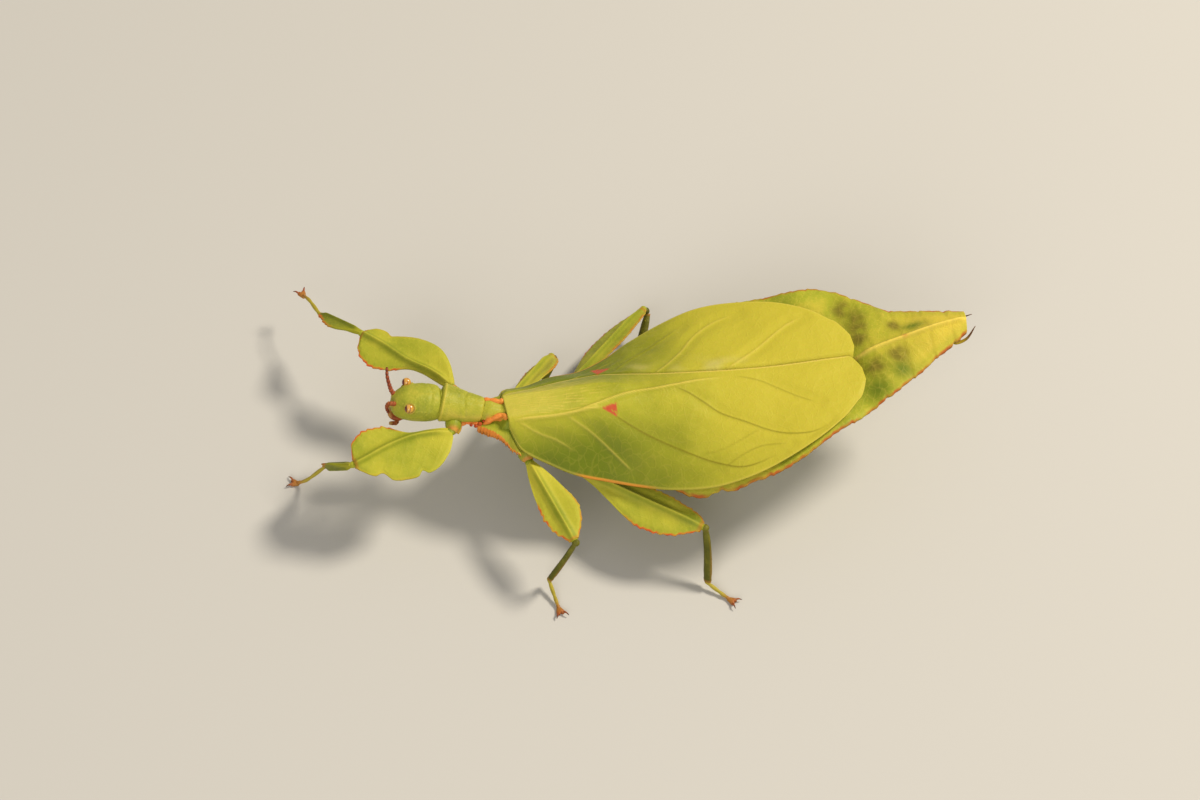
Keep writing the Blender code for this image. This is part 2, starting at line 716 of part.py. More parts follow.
# Outlines of the flat leg pieces, as (along, across) from the upper joint: the side that
# is on the insect's left when the leg points forward, the other side, and the shaft
FEMUR_SHAPES = {
    "fore_left": (
        ((0.6, 1.3), (1.6, 2.8), (3.5, 4.2), (5.2, 4.6), (5.9, 4.0), (6.7, 4.6), (8.3, 4.5),
         (10.1, 3.9), (10.9, 2.6), (12.2, 2.5), (13.6, 1.2), (14.1, 0.5)),
        ((0.6, -0.7), (3.0, -1.2), (5.5, -1.7), (8.2, -3.5), (10.0, -4.0), (12.0, -3.8),
         (13.5, -2.5), (14.1, -0.6)),
        ((0.9, 0.1), (3.2, -0.7), (5.6, -1.0), (9.0, -0.8), (13.3, 0.0)),
    ),
    "fore_right": (
        ((0.6, 0.6), (3.0, 0.5), (5.2, 0.5), (7.0, 1.0), (9.2, 2.6), (11.4, 3.5), (13.4, 3.3),
         (15.0, 2.2), (15.9, 0.6)),
        ((0.6, -1.0), (2.8, -2.9), (5.0, -4.0), (7.1, -4.1), (9.4, -3.5), (11.3, -2.5),
         (12.3, -1.9), (13.2, -2.1), (14.8, -1.7), (15.9, -0.6)),
        ((0.9, -0.1), (4.0, -0.3), (8.0, 0.1), (12.0, -0.1), (15.2, 0.0)),
    ),
    "mid": (
        ((0.4, 0.6), (3.0, 1.5), (6.0, 2.3), (9.0, 2.9), (11.2, 2.5), (13.0, 1.4), (14.0, 0.6)),
        ((0.4, -0.6), (2.5, -1.2), (5.5, -1.8), (8.6, -2.1), (11.1, -1.9), (13.0, -1.1),
         (14.0, -0.6)),
        ((0.9, 0.0), (5.0, 0.0), (9.0, 0.0), (13.2, 0.0)),
    ),
    "hind": (
        ((0.5, 0.6), (4.0, 1.1), (8.0, 1.6), (12.5, 2.0), (15.5, 1.7), (17.8, 1.3), (18.8, 0.6)),
        ((0.5, -0.6), (2.9, -1.1), (5.9, -2.2), (9.0, -3.4), (11.5, -3.8), (14.9, -3.2),
         (17.0, -2.0), (18.8, -0.6)),
        ((0.9, 0.0), (6.0, 0.0), (12.0, 0.0), (18.0, 0.0)),
    ),
    "fore_shin": (
        ((0.5, 0.5), (3.0, 0.6), (6.0, 0.6), (8.9, 0.5)),
        ((0.5, -0.5), (1.8, -1.0), (3.4, -1.9), (5.4, -1.9), (7.4, -1.0), (8.9, -0.5)),
        ((0.9, 0.0), (3.0, 0.0), (6.0, 0.0), (8.5, 0.0)),
    ),
}

# Each leg: where it leaves the body, hip, knee, ankle, foot, which way the femur's flat
# side faces and which way the shin's does. A foot without a height stands on the floor
LEGS = {
    "fore_left": ((-0.9, -7.5, -1.9), (1.4, -8.1, -1.7), (4.5, -22.5, -2.0),
                  (-1.0, -25.1, -8.7), (-2.9, -29.9), (0.25, 0.0, 1.0), (0.9, -0.2, -0.4)),
    "fore_right": ((-3.8, -6.7, -1.9), (-5.9, -6.6, -1.7), (-17.9, -17.4, -1.8),
                   (-24.9, -22.0, -5.0), (-30.6, -23.9, -6.2), (0.25, 0.0, 1.0),
                   (0.2, 0.5, 1.0)),
    "mid_left": ((3.6, 1.5, -5.15), (5.4, 1.6, -5.3), (18.3, 5.5, -7.7),
                 (18.4, 2.2, -15.4), (23.3, 3.0), (0.25, -0.2, 1.0), (0.3, -1.0, 0.0)),
    "mid_right": ((-3.6, 1.5, -5.15), (-5.4, 1.6, -5.5), (-15.8, 9.7, -9.9),
                  (-10.2, 5.7, -13.9), (-10.6, 1.4), (-0.54, -0.37, 0.76), (0.5, 0.6, 0.6)),
    "hind_left": ((4.4, 7.4, -6.3), (5.8, 8.2, -8.0), (17.6, 23.8, -9.8),
                  (21.5, 23.8, -17.2), (24.8, 27.2), (0.3, -0.15, 1.0), (0.6, -1.0, 0.0)),
    "hind_right": ((-4.4, 7.4, -6.3), (-6.2, 8.3, -8.3), (-21.9, 24.6, -9.6),
                   (-14.1, 21.3, -14.1), (-11.8, 26.9), (-0.56, -0.39, 0.78), (0.5, -0.6, 0.6)),
}


def coxa(kind, root, hip):
    """A short bulb. The fore ones are hollowed to lie against the thorax."""
    along = (hip - root).normalized()
    start, end = root + along * GAP, hip - along * GAP
    rows = ((0.0, 0.95, 0.95, 0.0), (0.3, 1.1, 1.1, 0.0), (0.7, 1.0, 1.0, 0.0),
            (1.0, 0.65, 0.65, 0.0))
    bulb = loft(spine_stations(rows, start, end), 10)
    return cut_away(bulb, [prothorax(GAP)]) if kind == "fore" else bulb


def bend_gap(before, joint, after):
    """How far past a joint the next piece starts, more where the leg folds back sharply."""
    straight = (joint - before).normalized().dot((after - joint).normalized())
    return JOINT_GAP + FOLD_GAP * (1 - straight) / 2


def leaf_shape(name, side, length):
    """The outline of a flat leg piece, stretched to its length and turned for its side."""
    left, right, shaft = FEMUR_SHAPES.get(name) or FEMUR_SHAPES[name.split("_")[0]]
    scale = (length - JOINT_GAP) / left[-1][0]
    lines = [[(x * scale, y) for x, y in line] for line in (left, right, shaft)]
    if side < 0 and name not in FEMUR_SHAPES:
        lines = [[(x, -y) for x, y in line] for line in (lines[1], lines[0], lines[2])]
    return lines


def femur(name, side, length):
    left, right, shaft = leaf_shape(name, side, length)
    inner_teeth = (0.5, 0.97, 1.0)
    outer_teeth = () if name.startswith("fore") else (0.7, 0.97, 0.8)
    teeth = (outer_teeth, inner_teeth) if side > 0 else (inner_teeth, outer_teeth)
    return leaf_piece(left, right, shaft, FEMUR_THICKNESS, 0.35, teeth)


def fore_tibia(side, length):
    left, right, shaft = leaf_shape("fore_shin", side, length)
    if side < 0:
        left, right = ([(x, -y) for x, y in line] for line in (right, left))
    return leaf_piece(left, right, shaft, 1.1, 0.2, ((), ()))


def rod_tibia(kind, length, first_gap):
    """A shin that thickens a little toward the ankle and bows backward."""
    wide, bow = (0.46, -0.2) if kind == "mid" else (0.75, -0.3)
    begin = first_gap / length
    shares = [begin, begin + 0.07, 0.3, 0.5, 0.7, 0.88, 0.96, 1.0]
    stations = []
    for share in shares:
        end = 0.75 if share in (shares[0], shares[-1]) else 1.0
        centre = Vector((share * (length - GAP), 0, bow * math.sin(math.pi * share)))
        half_width = wide * (0.8 + 0.35 * share) * end
        stations.append((centre, half_width, 0.5 * end, Vector((1, 0, 0))))
    return loft(stations, 10)


def foot_points(ankle, foot):
    """The line of a tarsus: down from the ankle, then level along the floor."""
    reach = (Vector(foot[:2]) - ankle.xy).normalized() * CLAW_REACH
    x, y = Vector(foot[:2]) - reach
    if len(foot) == 3:
        tip = Vector((x, y, foot[2]))
        return [ankle, ankle.lerp(tip, 0.6) + Vector((0, 0, 0.5)), tip]
    ground = Vector((x, y, floor_height(x, y) + TARSUS_RADIUS - FOOT_SINK))
    heel = ankle.lerp(ground, 0.62)
    level = floor_height(heel.x, heel.y) + TARSUS_RADIUS
    heel.z = max(level, heel.z - 0.35 * (heel.z - level))
    return [ankle, heel, ground]


def tarsus(ankle, foot, first_gap):
    """Five short joints, a flat pad and two spread claws, cut level where they stand."""
    ankle, heel, ground = foot_points(ankle, foot)
    ahead = (ground - heel)
    ahead.z = 0
    ahead.normalize()
    start = ankle + (heel - ankle).normalized() * first_gap
    points = resample(spline((start, heel, ground), 0.5), 0.55)
    joints = len(points) - 1
    radii = [TARSUS_RADIUS * (1.0 - 0.16 * (k % 2)) * (1.05 - 0.2 * k / joints)
             for k in range(len(points))]
    up = Vector((0, 0, 1))
    across = up.cross(ahead)
    pad_rows = ((0.0, 0.3, 0.25, 0), (0.25, 0.75, 0.36, 0), (0.7, 0.85, 0.36, 0), (1.0, 0.4, 0.2, 0))
    pieces = [
        tube(points, radii, 8),
        loft(spine_stations(pad_rows, ground - ahead * 0.5, ground + ahead * 0.95), 10),
    ]
    for side in (1, -1):
        root = ground + ahead * 0.35 + across * side * 0.3
        claw = (root, root + ahead * 0.45 + across * side * 0.55 + up * 0.22,
                root + ahead * 0.8 + across * side * 1.05 + up * 0.05)
        pieces.append(tube(resample(spline(claw, 0.4), 0.4), [0.3, 0.26, 0.22, 0.16, 0.1], 6))
    return joined(pieces)


def cut_at_floor(bm):
    """Cuts the mesh level with the floor and closes it with a flat face."""
    normal = body_turn().to_3x3().inverted() @ Vector((0, 0, 1))
    base = Vector((0, 0, floor_height(0, 0)))
    cut = bmesh.ops.bisect_plane(
        bm, geom=bm.faces[:] + bm.edges[:] + bm.verts[:], plane_co=base, plane_no=normal,
        clear_inner=True, dist=1e-5,
    )
    rim = [item for item in cut["geom_cut"] if isinstance(item, bmesh.types.BMEdge)]
    bmesh.ops.holes_fill(bm, edges=rim, sides=0)
    return largest_surface(bm)


def add_leg(name, carrier, collection):
    root, hip, knee, ankle, foot, femur_face, tibia_face = LEGS[name]
    root, hip, knee, ankle = (Vector(p) for p in (root, hip, knee, ankle))
    side = 1 if name.endswith("left") else -1
    kind = name.split("_")[0]
    add_part(f"coxa_{name}", coxa(kind, root, hip), BODY_GREEN, carrier, collection, base=root)
    turn = leg_frame(hip, knee, Vector(femur_face))
    length = (knee - hip).length
    add_part(f"femur_{name}", femur(name, side, length), LEG_GREEN, carrier, collection,
             base=hip, turn=turn)
    if (knee - hip).dot(ankle - knee) < 0 and kind != "fore":
        knee = knee - turn.col[2] * KNEE_DROP
    turn = leg_frame(knee, ankle, Vector(tibia_face))
    length = (ankle - knee).length
    if kind == "fore":
        shin = fore_tibia(side, length)
    else:
        shin = rod_tibia(kind, length, bend_gap(hip, knee, ankle))
    add_part(f"tibia_{name}", shin, SHANK_GREEN, carrier, collection, base=knee, turn=turn)
    heel = foot_points(ankle, foot)[1]
    lower_foot = tarsus(ankle, foot, bend_gap(knee, ankle, heel))
    if len(foot) == 2:
        lower_foot = cut_at_floor(lower_foot)
    add_part(f"tarsus_{name}", lower_foot, FOOT_BUFF, carrier, collection, base=ankle)


def cercus(side):
    """One of the two short flat pointed leaves beside the end of the abdomen."""
    outer = Vector((0.3, 63.3, 0.85)) if side > 0 else Vector((-3.9, 63.5, 0.8))
    inward = Vector((-side, 0, 0))
    points = [outer, outer + Vector((0, 1.5, 0.45)) + inward * 0.2,
              outer + Vector((0, 2.7, 1.9)) + inward * 1.0]
    return tube(points, [0.36, 0.4, 0.16], 6)


def build():
    for thing in list(bpy.data.objects):
        bpy.data.objects.remove(thing, do_unlink=True)
    collection = bpy.data.collections.new("leaf_insect")
    bpy.context.scene.collection.children.link(collection)
    carrier = bpy.data.objects.new("leaf_insect_stance", None)
    collection.objects.link(carrier)

    add_part("head", head(), BODY_GREEN, carrier, collection, base=NECK)
    add_part("mouthparts", mouthparts(), FEELER_BROWN, carrier, collection, base=FACE)
    for word, side in (("left", 1), ("right", -1)):
        add_part(f"eye_{word}", sphere(eye_centre(side), EYE_RADIUS, 2), EYE_CREAM, carrier,
                 collection, base=eye_centre(side))
        add_part(f"antenna_{word}", antenna(side), FEELER_BROWN, carrier, collection, base=FACE)
        add_part(f"tegmen_{word}", fore_wing(side), WING_GREEN, carrier, collection)
        add_part(f"cercus_{word}", cercus(side), FEELER_BROWN, carrier, collection,
                 base=Vector((-1.8, ABDOMEN_REAR, 2.6)))
    add_part("prothorax", prothorax(), BODY_GREEN, carrier, collection, base=PROTHORAX_REAR)
    add_part("mesothorax", mesothorax(), BODY_GREEN, carrier, collection, base=WING_BASE)
    add_part("metathorax", metathorax(), BODY_GREEN, carrier, collection, base=WING_BASE)
    add_part("abdomen", abdomen(), BODY_GREEN, carrier, collection,
             base=Vector((0, ABDOMEN_FRONT, -2.5)))
    for name in LEGS:
        add_leg(name, carrier, collection)
    stand(carrier, collection)


def stand(carrier, collection):
    """Leans the body as it stands and centres its footprint on the origin."""
    carrier.matrix_world = body_turn()
    bpy.context.view_layer.update()
    corners = [
        part.matrix_world @ vert.co
        for part in collection.objects if part.type == "MESH"
        for vert in part.data.vertices
    ]
    middle = [(min(c[k] for c in corners) + max(c[k] for c in corners)) / 2 for k in (0, 1)]
    floor = min(c.z for c in corners)
    carrier.matrix_world = Matrix.Translation((-middle[0], -middle[1], -floor)) @ body_turn()
    bpy.context.view_layer.update()


build()
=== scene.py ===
import math

import bmesh
import bpy
from mathutils import Matrix, Vector, noise


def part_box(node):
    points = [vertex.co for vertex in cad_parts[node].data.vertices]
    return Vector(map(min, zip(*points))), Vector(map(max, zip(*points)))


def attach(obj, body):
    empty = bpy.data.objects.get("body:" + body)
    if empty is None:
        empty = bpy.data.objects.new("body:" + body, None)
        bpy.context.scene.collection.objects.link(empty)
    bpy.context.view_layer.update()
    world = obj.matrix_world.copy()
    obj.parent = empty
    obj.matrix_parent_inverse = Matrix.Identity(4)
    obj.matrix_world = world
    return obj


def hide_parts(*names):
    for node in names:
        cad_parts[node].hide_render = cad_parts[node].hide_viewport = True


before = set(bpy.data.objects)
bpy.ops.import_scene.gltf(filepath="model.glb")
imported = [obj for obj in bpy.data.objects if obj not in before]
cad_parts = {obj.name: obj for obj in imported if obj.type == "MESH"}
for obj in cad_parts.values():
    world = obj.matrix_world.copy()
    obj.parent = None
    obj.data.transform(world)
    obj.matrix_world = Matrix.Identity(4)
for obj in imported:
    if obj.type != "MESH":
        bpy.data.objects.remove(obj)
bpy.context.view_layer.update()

# Abdomen. A broad thin leaf of ten plates with a thicker middle, grown on the hind thorax and
# bent a little to the right and up behind the wings. Its margins are finely toothed, and brown
# patches show behind the wings.

# The whole insect is laid out in millimetres in its own frame, with the origin between the bases
# of the fore wings, +X to its left, +Y to its tail and +Z up. It leans a little as it stands, and
# its eyes, whose places are known in both frames, tell where it stands.
MM = 0.001
NECK = Vector((-2.8, -8.8, -0.5))
FACE = Vector((-3.5, -15.8, 0.15))
HEAD_AIM = (FACE - NECK).normalized()
HEAD_LEFT = Vector((-HEAD_AIM.y, HEAD_AIM.x, 0)).normalized()
LEAN = Matrix.Rotation(math.radians(-4.0), 4, "Y") @ Matrix.Rotation(math.radians(2.9), 4, "X")


def eye_centre(side):
    return NECK.lerp(FACE, 0.66) + HEAD_LEFT * side * 2.3 + Vector((0, 0, 1.45))


def box_middle(node):
    low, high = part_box(node)
    return (Vector(low) + Vector(high)) / 2


eyes_seen = (box_middle("eye_left") + box_middle("eye_right")) / 2
eyes_drawn = LEAN @ ((eye_centre(1) + eye_centre(-1)) / 2) * MM
STANCE = Matrix.Translation(eyes_seen - eyes_drawn) @ LEAN


def clamp(value, low=0.0, high=1.0):
    return max(low, min(high, value))


def step(value):
    """A smooth step from 0 at 0 to 1 at 1."""
    value = clamp(value)
    return value * value * (3 - 2 * value)


def hill(away, width):
    """1 where away is 0, and nearly 0 beyond twice the width."""
    return math.exp(-((away / width) ** 2))


def profile(rows, place, column=1):
    """The value at a place of a smooth curve through rows, level beyond both ends."""
    if place <= rows[0][0]:
        return rows[0][column]
    if place >= rows[-1][0]:
        return rows[-1][column]
    index = max(k for k in range(len(rows) - 1) if rows[k][0] <= place)

    def slope(k):
        low, high = max(k - 1, 0), min(k + 1, len(rows) - 1)
        return (rows[high][column] - rows[low][column]) / (rows[high][0] - rows[low][0])

    start, end = rows[index], rows[index + 1]
    span = end[0] - start[0]
    t = (place - start[0]) / span
    return (
        (2 * t**3 - 3 * t**2 + 1) * start[column]
        + (t**3 - 2 * t**2 + t) * span * slope(index)
        + (3 * t**2 - 2 * t**3) * end[column]
        + (t**3 - t**2) * span * slope(index + 1)
    )


# The closed fore wings make a low roof, flat along the middle, and the abdomen and the thorax
# follow it underneath. The left wing laps over the right one.
# Rows of the wings' outer margin: y, distance from the middle, height
WING_MARGIN = (
    (-0.7, 2.6, -0.8), (0.3, 4.9, -2.4), (1.3, 5.7, -3.3), (3.6, 6.7, -4.5), (7.4, 8.6, -5.7),
    (12.0, 9.8, -6.8), (16.0, 11.4, -6.8), (20.0, 13.2, -6.0), (25.0, 14.7, -4.7),
    (29.5, 15.1, -3.1), (34.0, 14.4, -1.8), (40.0, 12.3, -0.3), (44.5, 9.7, 0.3), (47.2, 7.2, 0.3),
)
# Rows of each wing's inner margin: y, x
LEFT_INNER = ((-0.6, -2.3), (0.8, -2.9), (7.0, -4.7), (12.0, -5.8), (16.5, -4.6), (21.5, -3.0),
              (28.0, -1.7), (34.0, -1.0), (41.0, -0.5), (47.8, -0.3))
RIGHT_INNER = ((1.1, 1.8), (3.0, 2.4), (14.0, 2.2), (26.0, 1.8), (38.0, 1.6), (47.6, 1.2))
UNDER_ROOF = 1.07


def roof(x, y):
    """Height of the upper face of the closed wings, or of where it would be beyond them."""
    half_width = max(profile(WING_MARGIN, y), 9.0 * step((y - 40) / 4))
    margin = profile(WING_MARGIN, y, 2)
    crown = 0.5 * step((y - 34) / 12)
    fold = 2.0 - 1.7 * step((y - 12) / 9)
    side = (abs(x) - fold) / (half_width - fold)
    return crown - (crown - margin) * max(side, 0.0) ** 1.1


def lap_step(x, y):
    """How far the right wing dips to pass under the left one."""
    from_left = step((x - profile(LEFT_INNER, y) + 0.9) / 1.1)
    from_right = step((profile(RIGHT_INNER, y) + 2.2 - x) / 1.6)
    return 0.6 * from_left * from_right


# Rows of the abdomen's edges, of the height of its ridge and of how steeply it falls away
ABDOMEN_LEFT = (
    (9.1, 4.4), (12.0, 6.4), (16.0, 9.0), (20.0, 12.2), (22.6, 14.2), (24.2, 14.9), (25.8, 14.7),
    (28.0, 15.4), (31.0, 15.1), (33.6, 15.0), (38.6, 13.4), (43.0, 11.1), (46.5, 9.7),
    (49.2, 8.3), (51.9, 7.1), (54.4, 5.7), (57.2, 4.2), (60.2, 2.4), (62.4, 1.2), (64.6, -0.1),
)
ABDOMEN_RIGHT = (
    (9.1, -4.4), (12.0, -6.4), (16.0, -9.0), (20.0, -12.2), (23.4, -15.0), (27.0, -15.6),
    (30.5, -15.3), (34.0, -15.1), (39.6, -14.3), (43.1, -14.3), (46.6, -14.2), (49.2, -13.0),
    (50.7, -11.6), (53.2, -9.2), (55.2, -7.4), (57.6, -6.4), (60.4, -5.5), (63.3, -4.5),
    (65.2, -3.5),
)
ABDOMEN_RIDGE = ((44.0, -0.6), (47.0, -0.5), (49.5, 0.1), (52.0, 1.1), (56.0, 2.1), (60.0, 3.0),
                 (65.2, 3.5))
ABDOMEN_SLOPE = ((46.0, 0.03), (50.0, 0.06), (54.0, 0.16), (58.0, 0.28), (62.0, 0.35))
ABDOMEN_START = 9.1
ABDOMEN_LENGTHS = {"left": 55.5, "right": 56.1}
PLATE_JOINTS = (14.0, 20.0, 26.5, 33.0, 39.5, 45.6, 51.2, 55.6, 59.4, 62.6)
RIB_PITCH = 2.1
RIB_SLANT = 0.55
# Rows of each blotch: x, y, half-width, half-length
BROWN_PATCHES = ((-6.2, 50.6, 2.6, 1.5), (-3.4, 50.2, 1.6, 1.2), (2.2, 51.2, 1.7, 1.5),
                 (1.2, 54.4, 1.5, 1.6), (-9.4, 49.4, 1.6, 1.3), (-3.9, 55.2, 1.1, 0.9))
# Rows of each patch of dark green painted shadow behind the wings: x, y, half-width, half-length
PAINTED_SHADOW_PATCHES = ((5.6, 50.4, 1.9, 2.2), (3.6, 54.4, 1.5, 1.6), (-2.8, 57.6, 0.8, 1.8))


def abdomen_middle(y):
    return -0.0875 * max(y - 44.0, 0.0)


def abdomen_top(x, y):
    covered = roof(x, y) - UNDER_ROOF - lap_step(x, y)
    free = profile(ABDOMEN_RIDGE, y) - profile(ABDOMEN_SLOPE, y) * abs(x - abdomen_middle(y))
    return covered + (free - covered) * step((y - 47.6) / 3.4)


def tooth(place, pitch, depth):
    """An uneven saw edge, steep toward the tail."""
    turn = place / pitch
    share = turn - math.floor(turn)
    uneven = 0.65 + 0.35 * math.sin(2.3 * math.floor(turn))
    return depth * uneven * (share / 0.75 if share < 0.75 else (1 - share) / 0.25)


def plate_groove(y):
    return max(hill(y - joint, 0.28) for joint in PLATE_JOINTS)


def abdomen_edge(rows, side, y):
    """The x of an edge with its teeth, cut in a little at the joints of the plates."""
    return profile(rows, y) + side * tooth(y, 1.25, 0.2) - side * 0.22 * plate_groove(y)


def abdomen_spot(u, v):
    """Where share u from the right and v from the front lies, and the width there."""
    left_y = ABDOMEN_START + ABDOMEN_LENGTHS["left"] * v
    right_y = ABDOMEN_START + ABDOMEN_LENGTHS["right"] * v
    left = abdomen_edge(ABDOMEN_LEFT, 1, left_y)
    right = abdomen_edge(ABDOMEN_RIGHT, -1, right_y)
    return right + (left - right) * u, right_y + (left_y - right_y) * u, left - right


def abdomen_place(u, v):
    x, y, width = abdomen_spot(u, v)
    away = abs(x - abdomen_middle(y))
    open_part = step((y - 48.5) / 2)
    ridge = 0.5 * hill(away, 0.33) * open_part * step((65.0 - y) / 1.5)
    from_rib = (y - RIB_SLANT * away) % RIB_PITCH - RIB_PITCH / 2
    ribs = 0.03 * hill(from_rib, 0.22) * open_part
    groove = 0.045 * plate_groove(y) * open_part
    waves = 0.22 * open_part * noise.noise(Vector((x / 3.1, y / 3.7, 2.0))) * clamp(away / 2)
    rim = 0.12 * (1 - step(min(u, 1 - u) * width / 0.7))
    return Vector((x, y, abdomen_top(x, y) + ridge + ribs - groove + waves - rim))


def abdomen_thickness(u, v):
    x, y, width = abdomen_spot(u, v)
    spread = abs(x - abdomen_middle(y)) / 3.9
    along = step((y - 3.1) / 6) * (1 - 0.9 * step((y - 30) / 36))
    core = 3.2 * along * max(1 - spread**2, 0.0) ** 0.8
    rim = step(min(u, 1 - u) * width / 1.6)
    keel = 0.12 * hill(abs(spread) - 0.9, 0.12)
    return 0.3 + 0.25 * rim + core * (1 - 0.12 * plate_groove(y)) + keel


def abdomen_marks(u, v):
    x, y, width = abdomen_spot(u, v)
    away = abs(x - abdomen_middle(y))
    vein = 0.9 * hill(away, 0.26) * step((y - 47) / 2)
    fork = y - RIB_SLANT * away + 0.5 * noise.noise(Vector((x / 2, y / 2, 4.0)))
    fork = fork % RIB_PITCH - RIB_PITCH / 2
    vein += 0.1 * hill(fork, 0.13) * step(away / 1.5)
    margin = min(u, 1 - u) * width
    worn = 0.45 + 0.9 * noise.noise(Vector((x / 1.4, y / 1.4, 9.0)))
    edge = step((0.42 - margin) / 0.25) * clamp(worn + 0.25 * step((margin - 0.2) / -0.1))
    blotch = 0.8 + 0.9 * noise.noise(Vector((x / 1.3, y / 1.3, 12.0)))
    brown = max(math.exp(-(((x - px) / sx) ** 2 + ((y - py) / sy) ** 2) ** 1.5)
                for px, py, sx, sy in BROWN_PATCHES) * clamp(blotch)
    spot = math.exp(-(((x + 1.15) / 0.35) ** 2 + ((y - 55.9) / 0.45) ** 2)) * 0.5
    # Painted shadow: dark green patches on the abdomen behind the wings, carried as painted shade.
    deep = max(math.exp(-(((x - px) / sx) ** 2 + ((y - py) / sy) ** 2))
               for px, py, sx, sy in PAINTED_SHADOW_PATCHES)
    line = 0.16 * plate_groove(y) * step((y - 47) / 2) * step((away - 0.4) / 0.5)
    ripe = 0.75 * step((y - 50) / 11) * (0.5 + 0.5 * step((margin - 0.5) / 1.5))
    return vein, edge, 0.95 * brown, spot, line, ripe, 0.9 * deep


def set_inputs(node, inputs):
    """Links each input that is given as a socket, and sets the others."""
    for name, value in inputs.items():
        if isinstance(value, bpy.types.NodeSocket):
            node.id_data.links.new(value, node.inputs[name])
        else:
            node.inputs[name].default_value = value


def shader_node(tree, kind, inputs, **settings):
    made = tree.nodes.new("ShaderNode" + kind)
    for name, value in settings.items():
        setattr(made, name, value)
    set_inputs(made, inputs)
    return made


def blend_node(tree, share, first, second):
    """Mixes two colours. Each is a socket or a colour."""
    return shader_node(tree, "Mix", {0: share, 6: first, 7: second}, data_type="RGBA").outputs[2]


def new_surface(name):
    """A material, its node tree and its shader."""
    made = bpy.data.materials.new(name)
    made.use_nodes = True
    return made, made.node_tree, made.node_tree.nodes["Principled BSDF"]


def new_effect(name, inputs, outputs):
    """An empty node group with its named (name, kind) inputs and outputs, and their two nodes."""
    group = bpy.data.node_groups.new(name, "ShaderNodeTree")
    for in_out, sockets in (("INPUT", inputs), ("OUTPUT", outputs)):
        for label, kind in sockets:
            group.interface.new_socket(label, in_out=in_out, socket_type="NodeSocket" + kind)
    return group, group.nodes.new("NodeGroupInput"), group.nodes.new("NodeGroupOutput")


uneven_green, given, out = new_effect(
    "uneven_green",
    [("Middle", "Color"), ("Light", "Color"), ("Dark", "Color"), ("Patch Scale", "Float")],
    [("Color", "Color"), ("Clouds", "Float")],
)
where = shader_node(uneven_green, "TexCoord", {}).outputs["Object"]
clouds = shader_node(uneven_green, "TexNoise", {
    "Vector": where, "Scale": given.outputs["Patch Scale"], "Detail": 3.0, "Roughness": 0.55})
speckle = shader_node(uneven_green, "TexNoise", {
    "Vector": where, "Scale": 2600.0, "Detail": 2.0, "Roughness": 0.6})
lighter = shader_node(uneven_green, "MapRange", {
    "Value": clouds.outputs["Fac"], "From Min": 0.5, "From Max": 0.78, "To Max": 0.75})
darker = shader_node(uneven_green, "MapRange", {
    "Value": clouds.outputs["Fac"], "From Min": 0.48, "From Max": 0.22, "To Max": 0.75})
dots = shader_node(uneven_green, "MapRange", {
    "Value": speckle.outputs["Fac"], "From Min": 0.56, "From Max": 0.74, "To Max": 0.4})
light, dark = given.outputs["Light"], given.outputs["Dark"]
green = blend_node(uneven_green, lighter.outputs[0], given.outputs["Middle"], light)
green = blend_node(uneven_green, darker.outputs[0], green, dark)
green = blend_node(uneven_green, dots.outputs[0], green, light)
set_inputs(out, {"Color": green, "Clouds": clouds.outputs["Fac"]})

pebbled_skin, given, out = new_effect(
    "pebbled_skin", [("Size", "Float")], [("Height", "Float"), ("Pebble", "Float")])
where = shader_node(pebbled_skin, "TexCoord", {}).outputs["Object"]
pebbles = shader_node(pebbled_skin, "TexVoronoi", {
    "Vector": where, "Scale": given.outputs["Size"], "Smoothness": 0.6}, feature="SMOOTH_F1")
waves = shader_node(pebbled_skin, "TexNoise", {"Vector": where, "Scale": 700.0, "Detail": 3.0})
rounded = shader_node(pebbled_skin, "Math", {
    0: pebbles.outputs["Distance"], 1: -0.5}, operation="MULTIPLY")
height = shader_node(pebbled_skin, "Math", {
    0: rounded.outputs[0], 1: waves.outputs["Fac"]}, operation="ADD")
set_inputs(out, {"Height": height.outputs[0], "Pebble": pebbles.outputs["Distance"]})

leaf_net, _, out = new_effect("leaf_net", [], [("Mask", "Float")])
where = shader_node(leaf_net, "UVMap", {}, uv_map="leaf").outputs["UV"]
bent = shader_node(leaf_net, "TexNoise", {"Vector": where, "Scale": 0.5, "Detail": 2.0})
shifted = shader_node(leaf_net, "VectorMath", {
    0: bent.outputs["Color"], 1: (1.4, 1.4, 0.0), 2: where}, operation="MULTIPLY_ADD")
coarse = shader_node(leaf_net, "TexVoronoi", {
    "Vector": shifted.outputs[0], "Scale": 0.8}, feature="DISTANCE_TO_EDGE")
threads = shader_node(leaf_net, "MapRange", {
    "Value": coarse.outputs["Distance"], "From Min": 0.07, "From Max": 0.0, "To Max": 1.0},
    interpolation_type="SMOOTHSTEP")
set_inputs(out, {"Mask": threads.outputs[0]})

# What a leafy sheet's mesh can carry: raised yellow veins, worn edges, blotches (on the wings
# painted light), red spots, fine dark lines, riper (yellower) places and painted shade (darker).
LEAF_MARKS = ("vein", "edge", "patch", "spot", "line", "ripe", "shade")


